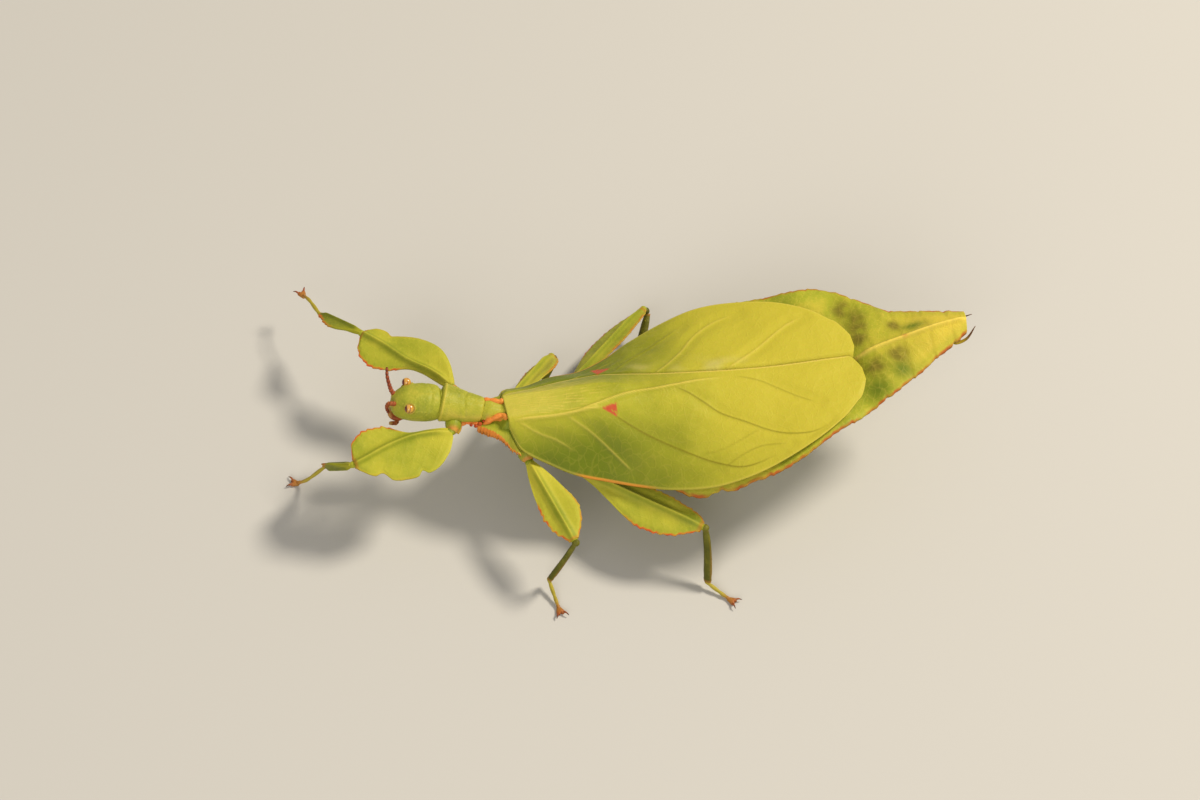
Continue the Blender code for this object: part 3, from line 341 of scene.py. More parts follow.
def leafy_material(name, middle, light, dark, vein, edge, patch, net_strength, patch_scale):
    """Leafy skin whose marks show where the mesh's attributes of their names say so."""
    made, tree, shader = new_surface(name)
    skin = shader_node(tree, "Group", {
        "Middle": middle, "Light": light, "Dark": dark, "Patch Scale": patch_scale},
        node_tree=uneven_green)
    net = shader_node(tree, "Group", {}, node_tree=leaf_net)
    grain = shader_node(tree, "Group", {"Size": 3800.0}, node_tree=pebbled_skin)
    marks = {word: shader_node(tree, "Attribute", {}, attribute_name=word).outputs["Fac"]
             for word in LEAF_MARKS}
    faint = shader_node(tree, "Math", {
        0: net.outputs["Mask"], 1: net_strength}, operation="MULTIPLY").outputs[0]
    colour = skin.outputs["Color"]
    # Painted shade mixes in the dark colour, and on the wings the patch colour is painted light.
    for share, tone in ((marks["ripe"], light), (marks["shade"], dark), (marks["patch"], patch),
                        (faint, vein), (marks["line"], (0.17, 0.14, 0.008, 1)),
                        (marks["vein"], vein), (marks["spot"], (0.50, 0.08, 0.035, 1)),
                        (marks["edge"], edge)):
        colour = blend_node(tree, share, colour, tone)
    relief = shader_node(tree, "Math", {
        0: net.outputs["Mask"], 1: 0.35, 2: grain.outputs["Height"]}, operation="MULTIPLY_ADD")
    bump = shader_node(tree, "Bump", {
        "Height": relief.outputs[0], "Strength": 0.35, "Distance": 0.00012})
    gloss = shader_node(tree, "MapRange", {
        "Value": skin.outputs["Clouds"], "From Min": 0.3, "From Max": 0.7, "To Min": 0.46,
        "To Max": 0.62})
    set_inputs(shader, {
        "Base Color": colour, "Normal": bump.outputs["Normal"], "Roughness": gloss.outputs[0],
        "Specular IOR Level": 0.12, "Subsurface Weight": 0.08,
        "Subsurface Radius": (0.6, 1.0, 0.2), "Subsurface Scale": 0.0006})
    return made


def turn_outward(bm):
    """Makes the faces of a closed mesh point outward."""
    bmesh.ops.recalc_face_normals(bm, faces=bm.faces)
    if bm.calc_volume(signed=True) < 0:
        bmesh.ops.reverse_faces(bm, faces=bm.faces)


def leaf_sheet(rows, columns, place, depth, marks, frame_turn=None):
    """A thin leafy sheet. place(u, v) is its upper face and depth(u, v) its thickness.

    marks(u, v) gives how much of the leaf marks shows there, in their order.
    """
    bm = bmesh.new()
    bmesh.ops.create_grid(bm, x_segments=columns, y_segments=rows, size=1)
    layers = [bm.verts.layers.float.new(word) for word in LEAF_MARKS]
    shares = {}
    for vert in bm.verts:
        u = 0.5 + 0.5 * vert.co.x
        v = 0.5 + 0.5 * vert.co.y
        u = 0.6 * u + 0.4 * step(u)
        v = 0.85 * v + 0.15 * step(v)
        shares[vert] = (u, v)
    for vert, (u, v) in shares.items():
        vert.co = place(u, v)
        for layer, value in zip(layers, marks(u, v)):
            vert[layer] = clamp(value)
    lower = {vert: depth(*share) for vert, share in shares.items()}
    uv = bm.loops.layers.uv.new("leaf")
    for face in bm.faces:
        for loop in face.loops:
            loop[uv].uv = loop.vert.co.xy
    bmesh.ops.extrude_face_region(bm, geom=bm.faces[:] + bm.edges[:] + bm.verts[:])
    for vert, thickness in lower.items():
        vert.co.z -= thickness
    if frame_turn:
        bm.transform(frame_turn)
    turn_outward(bm)
    return bm


def finish_piece(bm, name, nodes, material):
    """Turns a mesh in the insect's millimetres into a piece that rides and replaces nodes."""
    bm.transform(STANCE @ Matrix.Scale(MM, 4))
    mesh = bpy.data.meshes.new(name)
    bm.to_mesh(mesh)
    bm.free()
    mesh.materials.append(material)
    mesh.shade_smooth()
    piece = bpy.data.objects.new(name, mesh)
    bpy.context.scene.collection.objects.link(piece)
    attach(piece, "root")
    if nodes:
        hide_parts(*nodes)


abdomen_skin = leafy_material(
    "abdomen_skin", (0.36, 0.37, 0.025, 1), (0.66, 0.50, 0.055, 1), (0.11, 0.16, 0.01, 1),
    (0.80, 0.60, 0.10, 1), (0.42, 0.11, 0.02, 1), (0.18, 0.15, 0.018, 1), 0.1, 190.0)
abdomen_leaf = leaf_sheet(300, 110, abdomen_place, abdomen_thickness, abdomen_marks)
finish_piece(abdomen_leaf, "abdomen_leaf", ["abdomen"], abdomen_skin)

# Tail feelers. Two short flat pointed leaves flank the cut-off end of the abdomen, with dark
# tips, each fixed in a notch under the last plate.


def skin_material(name, middle, light, dark, mark, roughness=0.48, pebble=4200.0, dots=0.25):
    """Pebbled body skin, with a mark colour where the mesh's mark attribute says so."""
    made, tree, shader = new_surface(name)
    skin = shader_node(tree, "Group", {
        "Middle": middle, "Light": light, "Dark": dark, "Patch Scale": 420.0},
        node_tree=uneven_green)
    grain = shader_node(tree, "Group", {"Size": pebble}, node_tree=pebbled_skin)
    crown = shader_node(tree, "MapRange", {
        "Value": grain.outputs["Pebble"], "From Min": 0.3, "From Max": 0.0, "To Max": dots})
    colour = blend_node(tree, crown.outputs[0], skin.outputs["Color"], light)
    marks = shader_node(tree, "Attribute", {}, attribute_name="mark").outputs["Fac"]
    colour = blend_node(tree, marks, colour, mark)
    bump = shader_node(tree, "Bump", {
        "Height": grain.outputs["Height"], "Strength": 0.6, "Distance": 0.00015})
    set_inputs(shader, {
        "Base Color": colour, "Normal": bump.outputs["Normal"], "Roughness": roughness,
        "Specular IOR Level": 0.18, "Subsurface Weight": 0.1,
        "Subsurface Radius": (0.8, 1.0, 0.3), "Subsurface Scale": 0.0005})
    return made


def smooth_line(controls, count):
    """A Catmull-Rom curve through flat or solid points, as tuples."""
    controls = [Vector(c) for c in controls]
    points = []
    for k in range(len(controls) - 1):
        a, b = controls[k], controls[k + 1]
        before = controls[k - 1] if k else a * 2 - b
        after = controls[k + 2] if k + 2 < len(controls) else b * 2 - a
        for j in range(count):
            t = j / count
            points.append((a * 2 + (b - before) * t + (before * 2 - a * 5 + b * 4 - after) * t**2
                           + (a * 3 - before - b * 3 + after) * t**3) / 2)
    points.append(controls[-1])
    return [tuple(p) for p in points]


def rod(stations, sides, marks=None):
    """A closed round body through stations of (centre, half-width, half-height, aim)."""
    bm = bmesh.new()
    rings = len(stations) + 1
    bmesh.ops.create_uvsphere(bm, u_segments=sides, v_segments=rings, radius=1)
    mark = bm.verts.layers.float.new("mark")
    for vert in bm.verts:
        ring = round(math.acos(clamp(vert.co.z, -1, 1)) / math.pi * rings)
        angle = math.atan2(vert.co.y, vert.co.x)
        index = int(clamp(ring - 1, 0, rings - 2))
        centre, half_width, half_height, aim = stations[index]
        across = aim.cross(Vector((0, 0, 1))).normalized()
        up = across.cross(aim).normalized()
        reach = 0 if ring in (0, rings) else 1
        vert.co = (centre + across * half_width * math.cos(angle) * reach
                   + up * half_height * math.sin(angle) * reach)
        if marks:
            vert[mark] = clamp(marks(index / (rings - 2), angle))
    turn_outward(bm)
    return bm


def bead_line(points, radius, bead, flat=1.0):
    """Stations along points whose radius is radius(share), swelling once per bead."""
    stations = []
    for k, point in enumerate(points):
        ahead = Vector(points[min(k + 1, len(points) - 1)])
        behind = Vector(points[max(k - 1, 0)])
        share = k / (len(points) - 1)
        wide = radius(share) * (1 - 0.2 * abs(math.cos(math.pi * bead * share)) ** 4)
        stations.append((Vector(point), wide, wide * flat, (ahead - behind).normalized()))
    return stations


tail_feeler_skin = skin_material(
    "tail_feeler_skin", (0.34, 0.24, 0.01, 1), (0.50, 0.36, 0.03, 1), (0.16, 0.09, 0.01, 1),
    (0.12, 0.04, 0.01, 1))
SIDES = (("left", 1), ("right", -1))


def tail_feeler(side):
    outer = Vector((0.3, 63.3, 0.85)) if side > 0 else Vector((-3.9, 63.5, 0.8))
    inward = Vector((-side, 0, 0))
    root = outer + Vector((0, -0.9, 0.35)) + inward * 0.3
    route = smooth_line((root, outer, outer + Vector((0, 1.5, 0.45)) + inward * 0.2,
                         outer + Vector((0, 2.7, 1.9)) + inward * 1.0), 8)
    stations = bead_line(route, lambda s: 0.34 * (1 - s**2) + 0.06, 0.0, 0.6)
    return rod(stations, 16, lambda s, angle: step((s - 0.45) / 0.4))


for word, side in SIDES:
    finish_piece(tail_feeler(side), f"tail_feeler_{word}", [f"cercus_{word}"],
                 tail_feeler_skin)

# Hind thorax. The deep box under the roots of the wings, hidden from above. Below it shows two
# plates with a groove between them, and the hind legs leave its rear corners.
body_skin = skin_material(
    "body_skin", (0.28, 0.31, 0.02, 1), (0.48, 0.44, 0.05, 1), (0.14, 0.19, 0.012, 1),
    (0.60, 0.24, 0.05, 1))
HIND_THORAX = ((1.0, 3.2), (3.0, 3.3), (5.0, 3.7), (7.0, 4.3), (9.4, 4.2))


def hind_thorax_place(u, v):
    y = 1.0 + 8.4 * v
    x = profile(HIND_THORAX, y) * (2 * u - 1)
    return Vector((x, y, roof(x, y) - UNDER_ROOF - lap_step(x, y)))


def hind_thorax_depth(u, v):
    top = hind_thorax_place(u, v)
    share = abs(2 * u - 1)
    groove = 0.25 * hill(top.y - 4.6, 0.3) + 0.2 * hill(share, 0.06)
    return top.z + 6.7 - 0.7 * share**4 - groove


hind_thorax = leaf_sheet(60, 50, hind_thorax_place, hind_thorax_depth, lambda u, v: (0, 0, 0, 0))
finish_piece(hind_thorax, "hind_thorax", ["metathorax"], body_skin)

# Middle thorax. A narrow waist of hard pebbled skin between the front thorax and the wings, with
# a faint furrow along its back. A raised orange ridge runs along each side of it.
PROTHORAX_REAR = Vector((-1.0, -3.4, -1.3))
waist_skin = skin_material(
    "waist_skin", (0.38, 0.36, 0.03, 1), (0.56, 0.47, 0.06, 1), (0.22, 0.25, 0.015, 1),
    (0.74, 0.21, 0.04, 1))
WAIST_ROWS = ((-0.1, 1.5, 1.25, 0.0), (0.1, 1.8, 1.55, 0.0), (0.3, 1.65, 1.55, 0.0),
              (0.5, 1.5, 1.5, -0.05), (0.7, 1.9, 1.45, 0.08), (0.8, 2.2, 1.3, -0.5),
              (1.0, 2.2, 1.0, -1.6))
WAIST_RIDGES = (
    ((0.95, -3.8, -1.75), (0.85, -2.6, -1.0), (0.75, -1.2, -0.62), (1.5, -0.6, -0.62)),
    ((-2.25, -3.6, -0.5), (-1.8, -2.4, -0.3), (-1.4, -1.2, -0.34), (-1.6, -0.6, -0.4)),
)


def spine(rows, start, end, count):
    """Many stations on the line from start to end, from rows (share, width, height, lift)."""
    aim = (end - start).normalized()
    first, last = rows[0][0], rows[-1][0]
    stations = []
    for k in range(count + 1):
        share = first + (last - first) * k / count
        centre = start.lerp(end, share) + Vector((0, 0, profile(rows, share, 3)))
        stations.append((centre, profile(rows, share, 1), profile(rows, share, 2), aim))
    return stations


def add_mesh(bm, other):
    """Adds a copy of the other mesh to bm, and frees it."""
    carried = bpy.data.meshes.new("carried")
    other.to_mesh(carried)
    other.free()
    bm.from_mesh(carried)
    bpy.data.meshes.remove(carried)


def waist_marks(share, angle):
    band = hill(abs(angle - math.pi / 2) - 1.3, 0.3)
    return 0.8 * band * step((share - 0.1) / 0.08) * step((0.8 - share) / 0.1)


waist_front = PROTHORAX_REAR + (PROTHORAX_REAR - NECK).normalized() * 0.1
waist = rod(spine(WAIST_ROWS, waist_front, Vector((0.0, 0.4, -2.1)), 44), 48, waist_marks)
for vert in waist.verts:
    ahead = (vert.co.y + 3.3) / 3.7
    across = vert.co.x - waist_front.x * (1 - ahead)
    if vert.co.z > -2.2 and ahead < 0.62:
        vert.co.z -= 0.1 * hill(across, 0.25)
for ridge in WAIST_RIDGES:
    add_mesh(waist, rod(bead_line(smooth_line(ridge, 10), lambda s: 0.2 + 0.22 * step(5 * s), 3.0),
                        18, lambda s, angle: 0.95 - 0.2 * s))
finish_piece(waist, "waist", ["mesothorax"], waist_skin)

# Waist pimples. Five small dark red warts of hard skin stand in a row along each side, grown on
# the skin where the front thorax meets the waist.


def ball(centre, radii, detail=3):
    """A round mesh, whose mark is left at 0."""
    bm = bmesh.new()
    bmesh.ops.create_icosphere(bm, subdivisions=detail, radius=1)
    bmesh.ops.scale(bm, verts=bm.verts, vec=radii)
    bmesh.ops.translate(bm, verts=bm.verts, vec=centre)
    bm.verts.layers.float.new("mark")
    return bm


pimple_skin = skin_material(
    "pimple_skin", (0.34, 0.04, 0.012, 1), (0.60, 0.16, 0.03, 1), (0.16, 0.02, 0.008, 1),
    (0.34, 0.04, 0.012, 1), 0.4)
# Each pimple: its place and size
PIMPLES = ((2.55, -4.9, -1.8, 0.26), (2.45, -4.3, -1.7, 0.3), (2.5, -5.5, -1.8, 0.2),
           (2.3, -3.7, -1.6, 0.24), (2.2, -3.1, -1.6, 0.2))
pimples = bmesh.new()
for side in (1, -1):
    for k, (x, y, z, size) in enumerate(PIMPLES):
        lean = -1.15 - 0.1 * k if side > 0 else -0.95
        add_mesh(pimples, ball(Vector((side * x * 0.93 + lean, y, z + 0.25)),
                               (size, size * 1.1, size * 0.9), 2))
finish_piece(pimples, "waist_pimples", [], pimple_skin)

# Waist flanges. A thin leafy flap runs down each side of the middle thorax, from the waist to the
# middle leg and under the front of the wing. Its edge is cut into small orange teeth.
FLANGE_EDGE = smooth_line(((0.75, -4.6), (1.85, -3.35), (3.0, -2.2), (4.1, -1.0), (5.1, -0.2),
                           (5.7, 0.5)), 12)
FLANGE_ROOT = smooth_line(((0.3, -4.1), (0.4, -3.1), (0.5, -1.9), (1.4, -0.9), (2.2, 0.3),
                           (3.6, 0.7)), 12)
FLANGE_TEETH = 17.5
WING_ROOT = -0.7


def flange_sheet(side):
    def spot(u, v):
        """Where share u from the root and v from the front lies, on the left side."""
        k = v * (len(FLANGE_EDGE) - 1)
        index = min(int(k), len(FLANGE_EDGE) - 2)
        t = k - index
        root = Vector(FLANGE_ROOT[index]).lerp(Vector(FLANGE_ROOT[index + 1]), t)
        edge = Vector(FLANGE_EDGE[index]).lerp(Vector(FLANGE_EDGE[index + 1]), t)
        edge += (edge - root).normalized() * tooth(v * FLANGE_TEETH, 1.0, 0.26)
        return root.lerp(edge, u)

    def place(u, v):
        flat = spot(u, v)
        wing_y = max(flat.y, WING_ROOT)
        rim = min(flat.x, profile(WING_MARGIN, wing_y))
        inner = roof(rim, wing_y) - 0.55
        inner = -1.5 + (inner + 1.5) * step((flat.y + 1.7) / 1.0)
        outer = -0.85 - 0.72 * (flat.x - 1.2)
        z = inner + (outer - inner) * step((flat.x - rim) / 2.2)
        z -= 0.2 * step((-2.4 - flat.y) / 2.0)
        return Vector((side * flat.x, flat.y, min(z, -0.5) - 0.1 * u**6))

    def depth(u, v):
        flat = spot(u, v)
        return 0.25 + 0.35 * step((1 - u) * 4) + 1.3 * clamp((5.0 - flat.x) / 3)

    def marks(u, v):
        edge = step((u - 0.95) / 0.04)
        ripe = 0.6 * step((u - 0.55) / 0.3)
        return 0.0, edge, 0.0, 0.0, 0.0, ripe, 0.0

    return leaf_sheet(110, 40, place, depth, marks)


flange_skin = leafy_material(
    "flange_skin", (0.28, 0.31, 0.02, 1), (0.46, 0.41, 0.04, 1), (0.15, 0.20, 0.012, 1),
    (0.52, 0.43, 0.05, 1), (0.72, 0.25, 0.04, 1), (0.3, 0.3, 0.03, 1), 0.06, 300.0)
for word, side in SIDES:
    finish_piece(flange_sheet(side), f"waist_flange_{word}", [], flange_skin)

# Side folds. A soft rounded fold of skin runs back along each side of the front thorax, from
# beside the hip of the fore leg to the waist. It is greenish in front and orange behind.
SIDE_FOLDS = (
    ((1.2, -7.6, -2.5), (0.35, -6.9, -1.9), (0.2, -6.0, -1.7), (0.45, -5.2, -1.7),
     (0.8, -4.4, -1.7)),
    ((-6.1, -7.6, -2.5), (-4.7, -6.9, -1.9), (-4.2, -6.0, -1.7), (-3.9, -5.2, -1.7),
     (-3.6, -4.4, -1.7)),
)
side_folds = bmesh.new()
side_folds.verts.layers.float.new("mark")
for fold in SIDE_FOLDS:
    add_mesh(side_folds, rod(bead_line(smooth_line(fold, 10), lambda s: 0.52 - 0.2 * s, 4.0, 0.7),
                             18, lambda s, angle: 0.35 + 0.65 * step(s / 0.5)))
finish_piece(side_folds, "side_folds", [], waist_skin)

# Front thorax. A shield of hard pebbled skin that widens toward the head, with a raised yellowish
# collar in front and a cross-shaped groove on its back.
collar_skin = skin_material(
    "collar_skin", (0.36, 0.355, 0.03, 1), (0.56, 0.47, 0.06, 1), (0.20, 0.23, 0.015, 1),
    (0.68, 0.50, 0.08, 1))
SHIELD_ROWS = ((0.02, 1.6, 1.35, 0.0), (0.06, 1.85, 1.6, 0.05), (0.3, 2.15, 1.75, 0.0),
               (0.6, 2.5, 1.9, 0.0), (0.82, 2.72, 2.08, 0.05), (0.93, 2.8, 2.18, 0.05),
               (0.965, 2.88, 2.26, 0.06), (1.0, 2.84, 2.2, 0.05), (1.04, 2.5, 2.0, 0.0),
               (1.06, 2.1, 1.7, 0.0))


def shield_marks(share, angle):
    collar = hill(share - 0.915, 0.022)
    sides = hill(abs(angle - math.pi / 2) - 1.25, 0.16) * step((0.8 - share) / 0.2)
    rear = hill(share - 0.03, 0.03)
    return 0.42 * collar + 0.4 * sides + 0.12 * rear


shield = rod(spine(SHIELD_ROWS, PROTHORAX_REAR, NECK, 60), 56, shield_marks)
shield_aim = (NECK - PROTHORAX_REAR).normalized()
shield_across = Vector((-shield_aim.y, shield_aim.x, 0)).normalized()
for vert in shield.verts:
    from_rear = (vert.co - PROTHORAX_REAR).dot(shield_aim)
    across = (vert.co - PROTHORAX_REAR).dot(shield_across)
    if vert.co.z > -0.9:
        furrow = 0.14 * hill(across, 0.22) * step(from_rear / 0.8)
        bar = 0.12 * hill(from_rear - 2.9 + 0.12 * across**2, 0.22)
        vert.co.z -= max(furrow, bar) * step((4.2 - from_rear) / 0.5)
finish_piece(shield, "front_shield", ["prothorax"], collar_skin)

# Joint skins. Soft yellowish skin in fine folds closes the gaps between the hard parts, at the
# neck and at the waist, and is grown on both of them.
joint_skin = skin_material(
    "joint_skin", (0.34, 0.36, 0.03, 1), (0.50, 0.46, 0.06, 1), (0.22, 0.26, 0.015, 1),
    (0.6, 0.5, 0.1, 1), 0.55)


def folded_skin(start, end, radius):
    """A short sleeve with five fine folds."""
    route = [start.lerp(end, k / 30) for k in range(31)]
    return rod(bead_line(route, lambda s: radius, 5.0), 32)


neck_sleeve = folded_skin(NECK - HEAD_AIM * 0.6, NECK + HEAD_AIM * 1.2, 1.9)
finish_piece(neck_sleeve, "neck_sleeve", [], joint_skin)
waist_sleeve = folded_skin(
    PROTHORAX_REAR - shield_aim * 0.7, PROTHORAX_REAR + shield_aim * 0.6, 1.4)
finish_piece(waist_sleeve, "waist_sleeve", [], joint_skin)

# Head. A smooth egg-shaped capsule, widest behind, with a fine furrow along its crown, rings
# round the eyes and two low knobs in front that carry the antennae.
head_skin = skin_material(
    "head_skin", (0.33, 0.34, 0.03, 1), (0.56, 0.47, 0.06, 1), (0.18, 0.22, 0.015, 1),
    (0.62, 0.36, 0.07, 1), 0.5, 3600.0, 0.4)
HEAD_ROWS = (
    (0.05, 2.1, 1.7, 0.0), (0.08, 2.4, 1.95, 0.0), (0.14, 2.6, 2.1, 0.0), (0.28, 2.8, 2.22, 0.0),
    (0.45, 2.8, 2.25, 0.0), (0.62, 2.65, 2.15, -0.05), (0.78, 2.3, 1.9, -0.15),
    (0.9, 1.75, 1.5, -0.3), (0.97, 1.05, 0.95, -0.4), (1.0, 0.4, 0.4, -0.45),
)
head_capsule = rod(spine(HEAD_ROWS, NECK, FACE, 80), 64)
mark = head_capsule.verts.layers.float["mark"]
knobs = [FACE + HEAD_LEFT * side * 0.95 - HEAD_AIM * 0.35 + Vector((0, 0, 0.65))
         for side in (1, -1)]
for vert in head_capsule.verts:
    from_neck = (vert.co - NECK).dot(HEAD_AIM)
    across = (vert.co - NECK).dot(HEAD_LEFT)
    push = Vector((0, 0, 0))
    if vert.co.z > 0.3:
        furrow = 0.1 * hill(across, 0.2) * step((5.6 - from_neck) / 1.2)
        arch = 0.09 * hill(from_neck - 1.6 - 0.1 * across**2, 0.2)
        push.z -= max(furrow, arch) * step((from_neck - 0.8) / 0.5)
    for side in (1, -1):
        away = (vert.co - eye_centre(side)).length
        outward = HEAD_LEFT * side + Vector((0, 0, 0.5))
        push += outward * 0.2 * hill(away - 0.82, 0.16)
        vert[mark] = max(vert[mark], 0.55 * hill(away - 0.75, 0.15))
    for knob in knobs:
        near = hill((vert.co - knob).length, 0.42)
        push += (HEAD_AIM + Vector((0, 0, 0.6))) * 0.28 * near
        vert[mark] = max(vert[mark], 0.8 * near)
    vert.co += push
finish_piece(head_capsule, "head_capsule", ["head"], head_skin)

# Eyes. Two small round glossy domes of many lenses, set in the sides of the head, cream with a
# dark red bar in front and below.
EYE_RADIUS = 0.62
eye_surface, tree, shader = new_surface("eye_surface")
where = shader_node(tree, "TexCoord", {}).outputs["Object"]
lenses = shader_node(tree, "TexVoronoi", {
    "Vector": where, "Scale": 14000.0}, feature="DISTANCE_TO_EDGE")
tint = shader_node(tree, "TexNoise", {"Vector": where, "Scale": 1800.0, "Detail": 2.0})
bar = shader_node(tree, "Attribute", {}, attribute_name="mark").outputs["Fac"]
cream = blend_node(tree, tint.outputs["Fac"], (0.68, 0.40, 0.08, 1), (0.58, 0.24, 0.03, 1))
bump = shader_node(tree, "Bump", {
    "Height": lenses.outputs["Distance"], "Strength": 0.3, "Distance": 0.00003})
set_inputs(shader, {
    "Base Color": blend_node(tree, bar, cream, (0.13, 0.015, 0.006, 1)),
    "Normal": bump.outputs["Normal"], "Roughness": 0.18, "Coat Weight": 0.6})

for word, side in SIDES:
    eye = ball(eye_centre(side), (EYE_RADIUS,) * 3, 5)
    mark = eye.verts.layers.float["mark"]
    outward = HEAD_LEFT * side
    for vert in eye.verts:
        reach = (vert.co - eye_centre(side)) / EYE_RADIUS
        front = reach.dot(HEAD_AIM)
        stripe = 0.85 * hill(front - 0.1 + 0.35 * reach.z, 0.1)
        hem = step((front - 0.5) / 0.15) + 0.8 * step((-reach.z - 0.1) / 0.2)
        vert[mark] = clamp(stripe * step(abs(reach.dot(outward)) / 0.3) + hem)
    finish_piece(eye, f"eye_dome_{word}", [f"eye_{word}"], eye_surface)

# Mouthparts. A blunt upper lip over two jaws, and two jointed feelers on each side, all of hard
# reddish brown skin with cream tips, hinged under the face.
mouth_skin = skin_material(
    "mouth_skin", (0.33, 0.08, 0.02, 1), (0.58, 0.28, 0.07, 1), (0.18, 0.035, 0.01, 1),
    (0.64, 0.40, 0.12, 1), 0.42)
lip_root = NECK.lerp(FACE, 0.74) - Vector((0, 0, 2.75))
lip_tip = lip_root + HEAD_AIM * 2.1 + Vector((0, 0, 0.35))
LIP_ROWS = ((0.0, 0.7, 0.3, 0.15), (0.3, 1.15, 0.5, 0.1), (0.65, 1.1, 0.5, 0.05),
            (0.9, 0.8, 0.4, 0.1), (1.0, 0.45, 0.25, 0.15))
mouth = rod(spine(LIP_ROWS, lip_root, lip_tip, 24), 28,
            lambda s, angle: 0.5 * step((s - 0.75) / 0.2))
for side in (1, -1):
    out = HEAD_LEFT * side
    jaw = [lip_root + out * 0.35, lip_root + HEAD_AIM * 0.9 + out * 0.6 + Vector((0, 0, 0.15)),
           lip_root + HEAD_AIM * 1.9 + out * 0.3 + Vector((0, 0, 0.3))]
    add_mesh(mouth, rod(bead_line(smooth_line(jaw, 8), lambda s: 0.42 - 0.2 * s, 1.0), 16))
    bend = lip_root + HEAD_AIM * 0.9 + out * 0.8
    for drop, reach in ((0.1, 0.6), (-0.3, 0.35)):
        feeler = [bend - out * 0.4, bend + out * 0.15 + Vector((0, 0, drop)),
                  bend + out * 0.5 + HEAD_AIM * 0.3 + Vector((0, 0, drop)),
                  bend + out * reach + HEAD_AIM * 1.15 + Vector((0, 0, drop - 0.1))]
        add_mesh(mouth, rod(bead_line(smooth_line(feeler, 12), lambda s: 0.25 - 0.05 * s, 4.0), 14,
                            lambda s, angle: 0.7 * step((s - 0.8) / 0.15)))
finish_piece(mouth, "mouth", ["mouthparts"], mouth_skin)

# Antennae. Short strings of nine beads on a stout base joint, reddish brown, darker to the tip.
# The right one stands out to the side, and the left one bends down along the face.
antenna_skin = skin_material(
    "antenna_skin", (0.30, 0.065, 0.02, 1), (0.48, 0.17, 0.05, 1), (0.17, 0.03, 0.01, 1),
    (0.10, 0.018, 0.008, 1), 0.42)
ANTENNA_ROUTES = {
    "right": ((-0.5, -0.4, -0.6), (0.0, 0.0, 0.0), (0.25, 0.8, 0.3), (0.45, 2.0, 0.7),
              (0.4, 3.3, 0.95)),
    "left": ((-0.5, -0.4, -0.6), (0.0, 0.0, 0.0), (0.55, -0.1, -0.1), (0.8, -0.1, -0.6),
             (0.8, 0.0, -1.2), (0.6, 0.2, -1.7)),
}
for word, side in SIDES:
    out = HEAD_LEFT * side
    root = FACE + out * 1.1 - HEAD_AIM * 0.3 + Vector((0, 0, 1.05))
    route = [root + HEAD_AIM * ahead + out * aside + Vector((0, 0, rise))
             for ahead, aside, rise in ANTENNA_ROUTES[word]]
    beads = bead_line(smooth_line(route, 24), lambda s: 0.38 - 0.18 * s, 9.0)
    antenna = rod(beads, 16, lambda s, angle: clamp(
        0.6 * step((s - 0.35) / 0.6) + 0.4 * math.cos(18 * math.pi * s)))
    finish_piece(antenna, f"antenna_beads_{word}", [f"antenna_{word}"], antenna_skin)

# Legs. Each has a bulb at the body, a broad leafy thigh, a shin that is leafy in the front pair
# and a plain rod in the others, and a five-jointed foot with a pad and two claws.

# Each leafy part: the lines of its left edge, its right edge and its shaft. The right leg mirrors
# a shape that both sides share.
LEG_SHAPES = {
    "fore_left": (
        ((0.3, 0.9), (0.9, 1.9), (1.6, 2.8), (3.5, 4.2), (5.2, 4.6), (5.9, 4.0), (6.7, 4.6),
         (8.3, 4.5), (10.1, 3.9), (10.9, 2.6), (12.2, 2.5), (13.6, 1.2), (14.1, 0.5)),
        ((0.3, -0.4), (0.9, -0.75), (3.0, -1.2), (5.5, -1.7), (8.2, -3.5), (10.0, -4.0),
         (12.0, -3.8), (13.5, -2.5), (14.1, -0.6)),
        ((0.4, 0.1), (3.2, -0.7), (5.6, -1.0), (9.0, -0.8), (13.3, 0.0), (14.1, 0.0)),
    ),
    "fore_right": (
        ((0.3, 0.5), (3.0, 0.5), (5.2, 0.5), (7.0, 1.0), (9.2, 2.6), (11.4, 3.5), (13.4, 3.3),
         (15.0, 2.2), (15.9, 0.6)),
        ((0.3, -0.6), (0.6, -1.0), (2.8, -2.9), (5.0, -4.0), (7.1, -4.1), (9.4, -3.5), (11.3, -2.5),
         (12.3, -1.9), (13.2, -2.1), (14.8, -1.7), (15.9, -0.6)),
        ((0.4, -0.1), (4.0, -0.3), (8.0, 0.1), (12.0, -0.1), (15.2, 0.0), (15.9, 0.0)),
    ),
    "mid": (
        ((0.2, 0.5), (3.0, 1.5), (6.0, 2.3), (9.0, 2.9), (11.2, 2.5), (13.0, 1.4), (14.0, 0.6)),
        ((0.2, -0.5), (2.5, -1.2), (5.5, -1.8), (8.6, -2.1), (11.1, -1.9), (13.0, -1.1),
         (14.0, -0.6)),
        ((0.3, 0.0), (5.0, 0.0), (9.0, 0.0), (14.0, 0.0)),
    ),
    "hind": (
        ((0.2, 0.5), (4.0, 1.1), (8.0, 1.6), (12.5, 2.0), (15.5, 1.7), (17.8, 1.3), (18.8, 0.6)),
        ((0.2, -0.5), (2.9, -1.1), (5.9, -2.2), (9.0, -3.4), (11.5, -3.8), (14.9, -3.2),
         (17.0, -2.0), (18.8, -0.6)),
        ((0.3, 0.0), (6.0, 0.0), (12.0, 0.0), (18.8, 0.0)),
    ),
    "fore_shin": (
        ((-0.2, 0.4), (0.5, 0.5), (3.0, 0.6), (6.0, 0.6), (8.9, 0.5)),
        ((-0.2, -0.4), (0.5, -0.5), (1.8, -1.0), (3.4, -1.9), (5.4, -1.9), (7.4, -1.0), (8.9, -0.5)),
        ((-0.2, 0.0), (3.0, 0.0), (6.0, 0.0), (8.9, 0.0)),
    ),
}
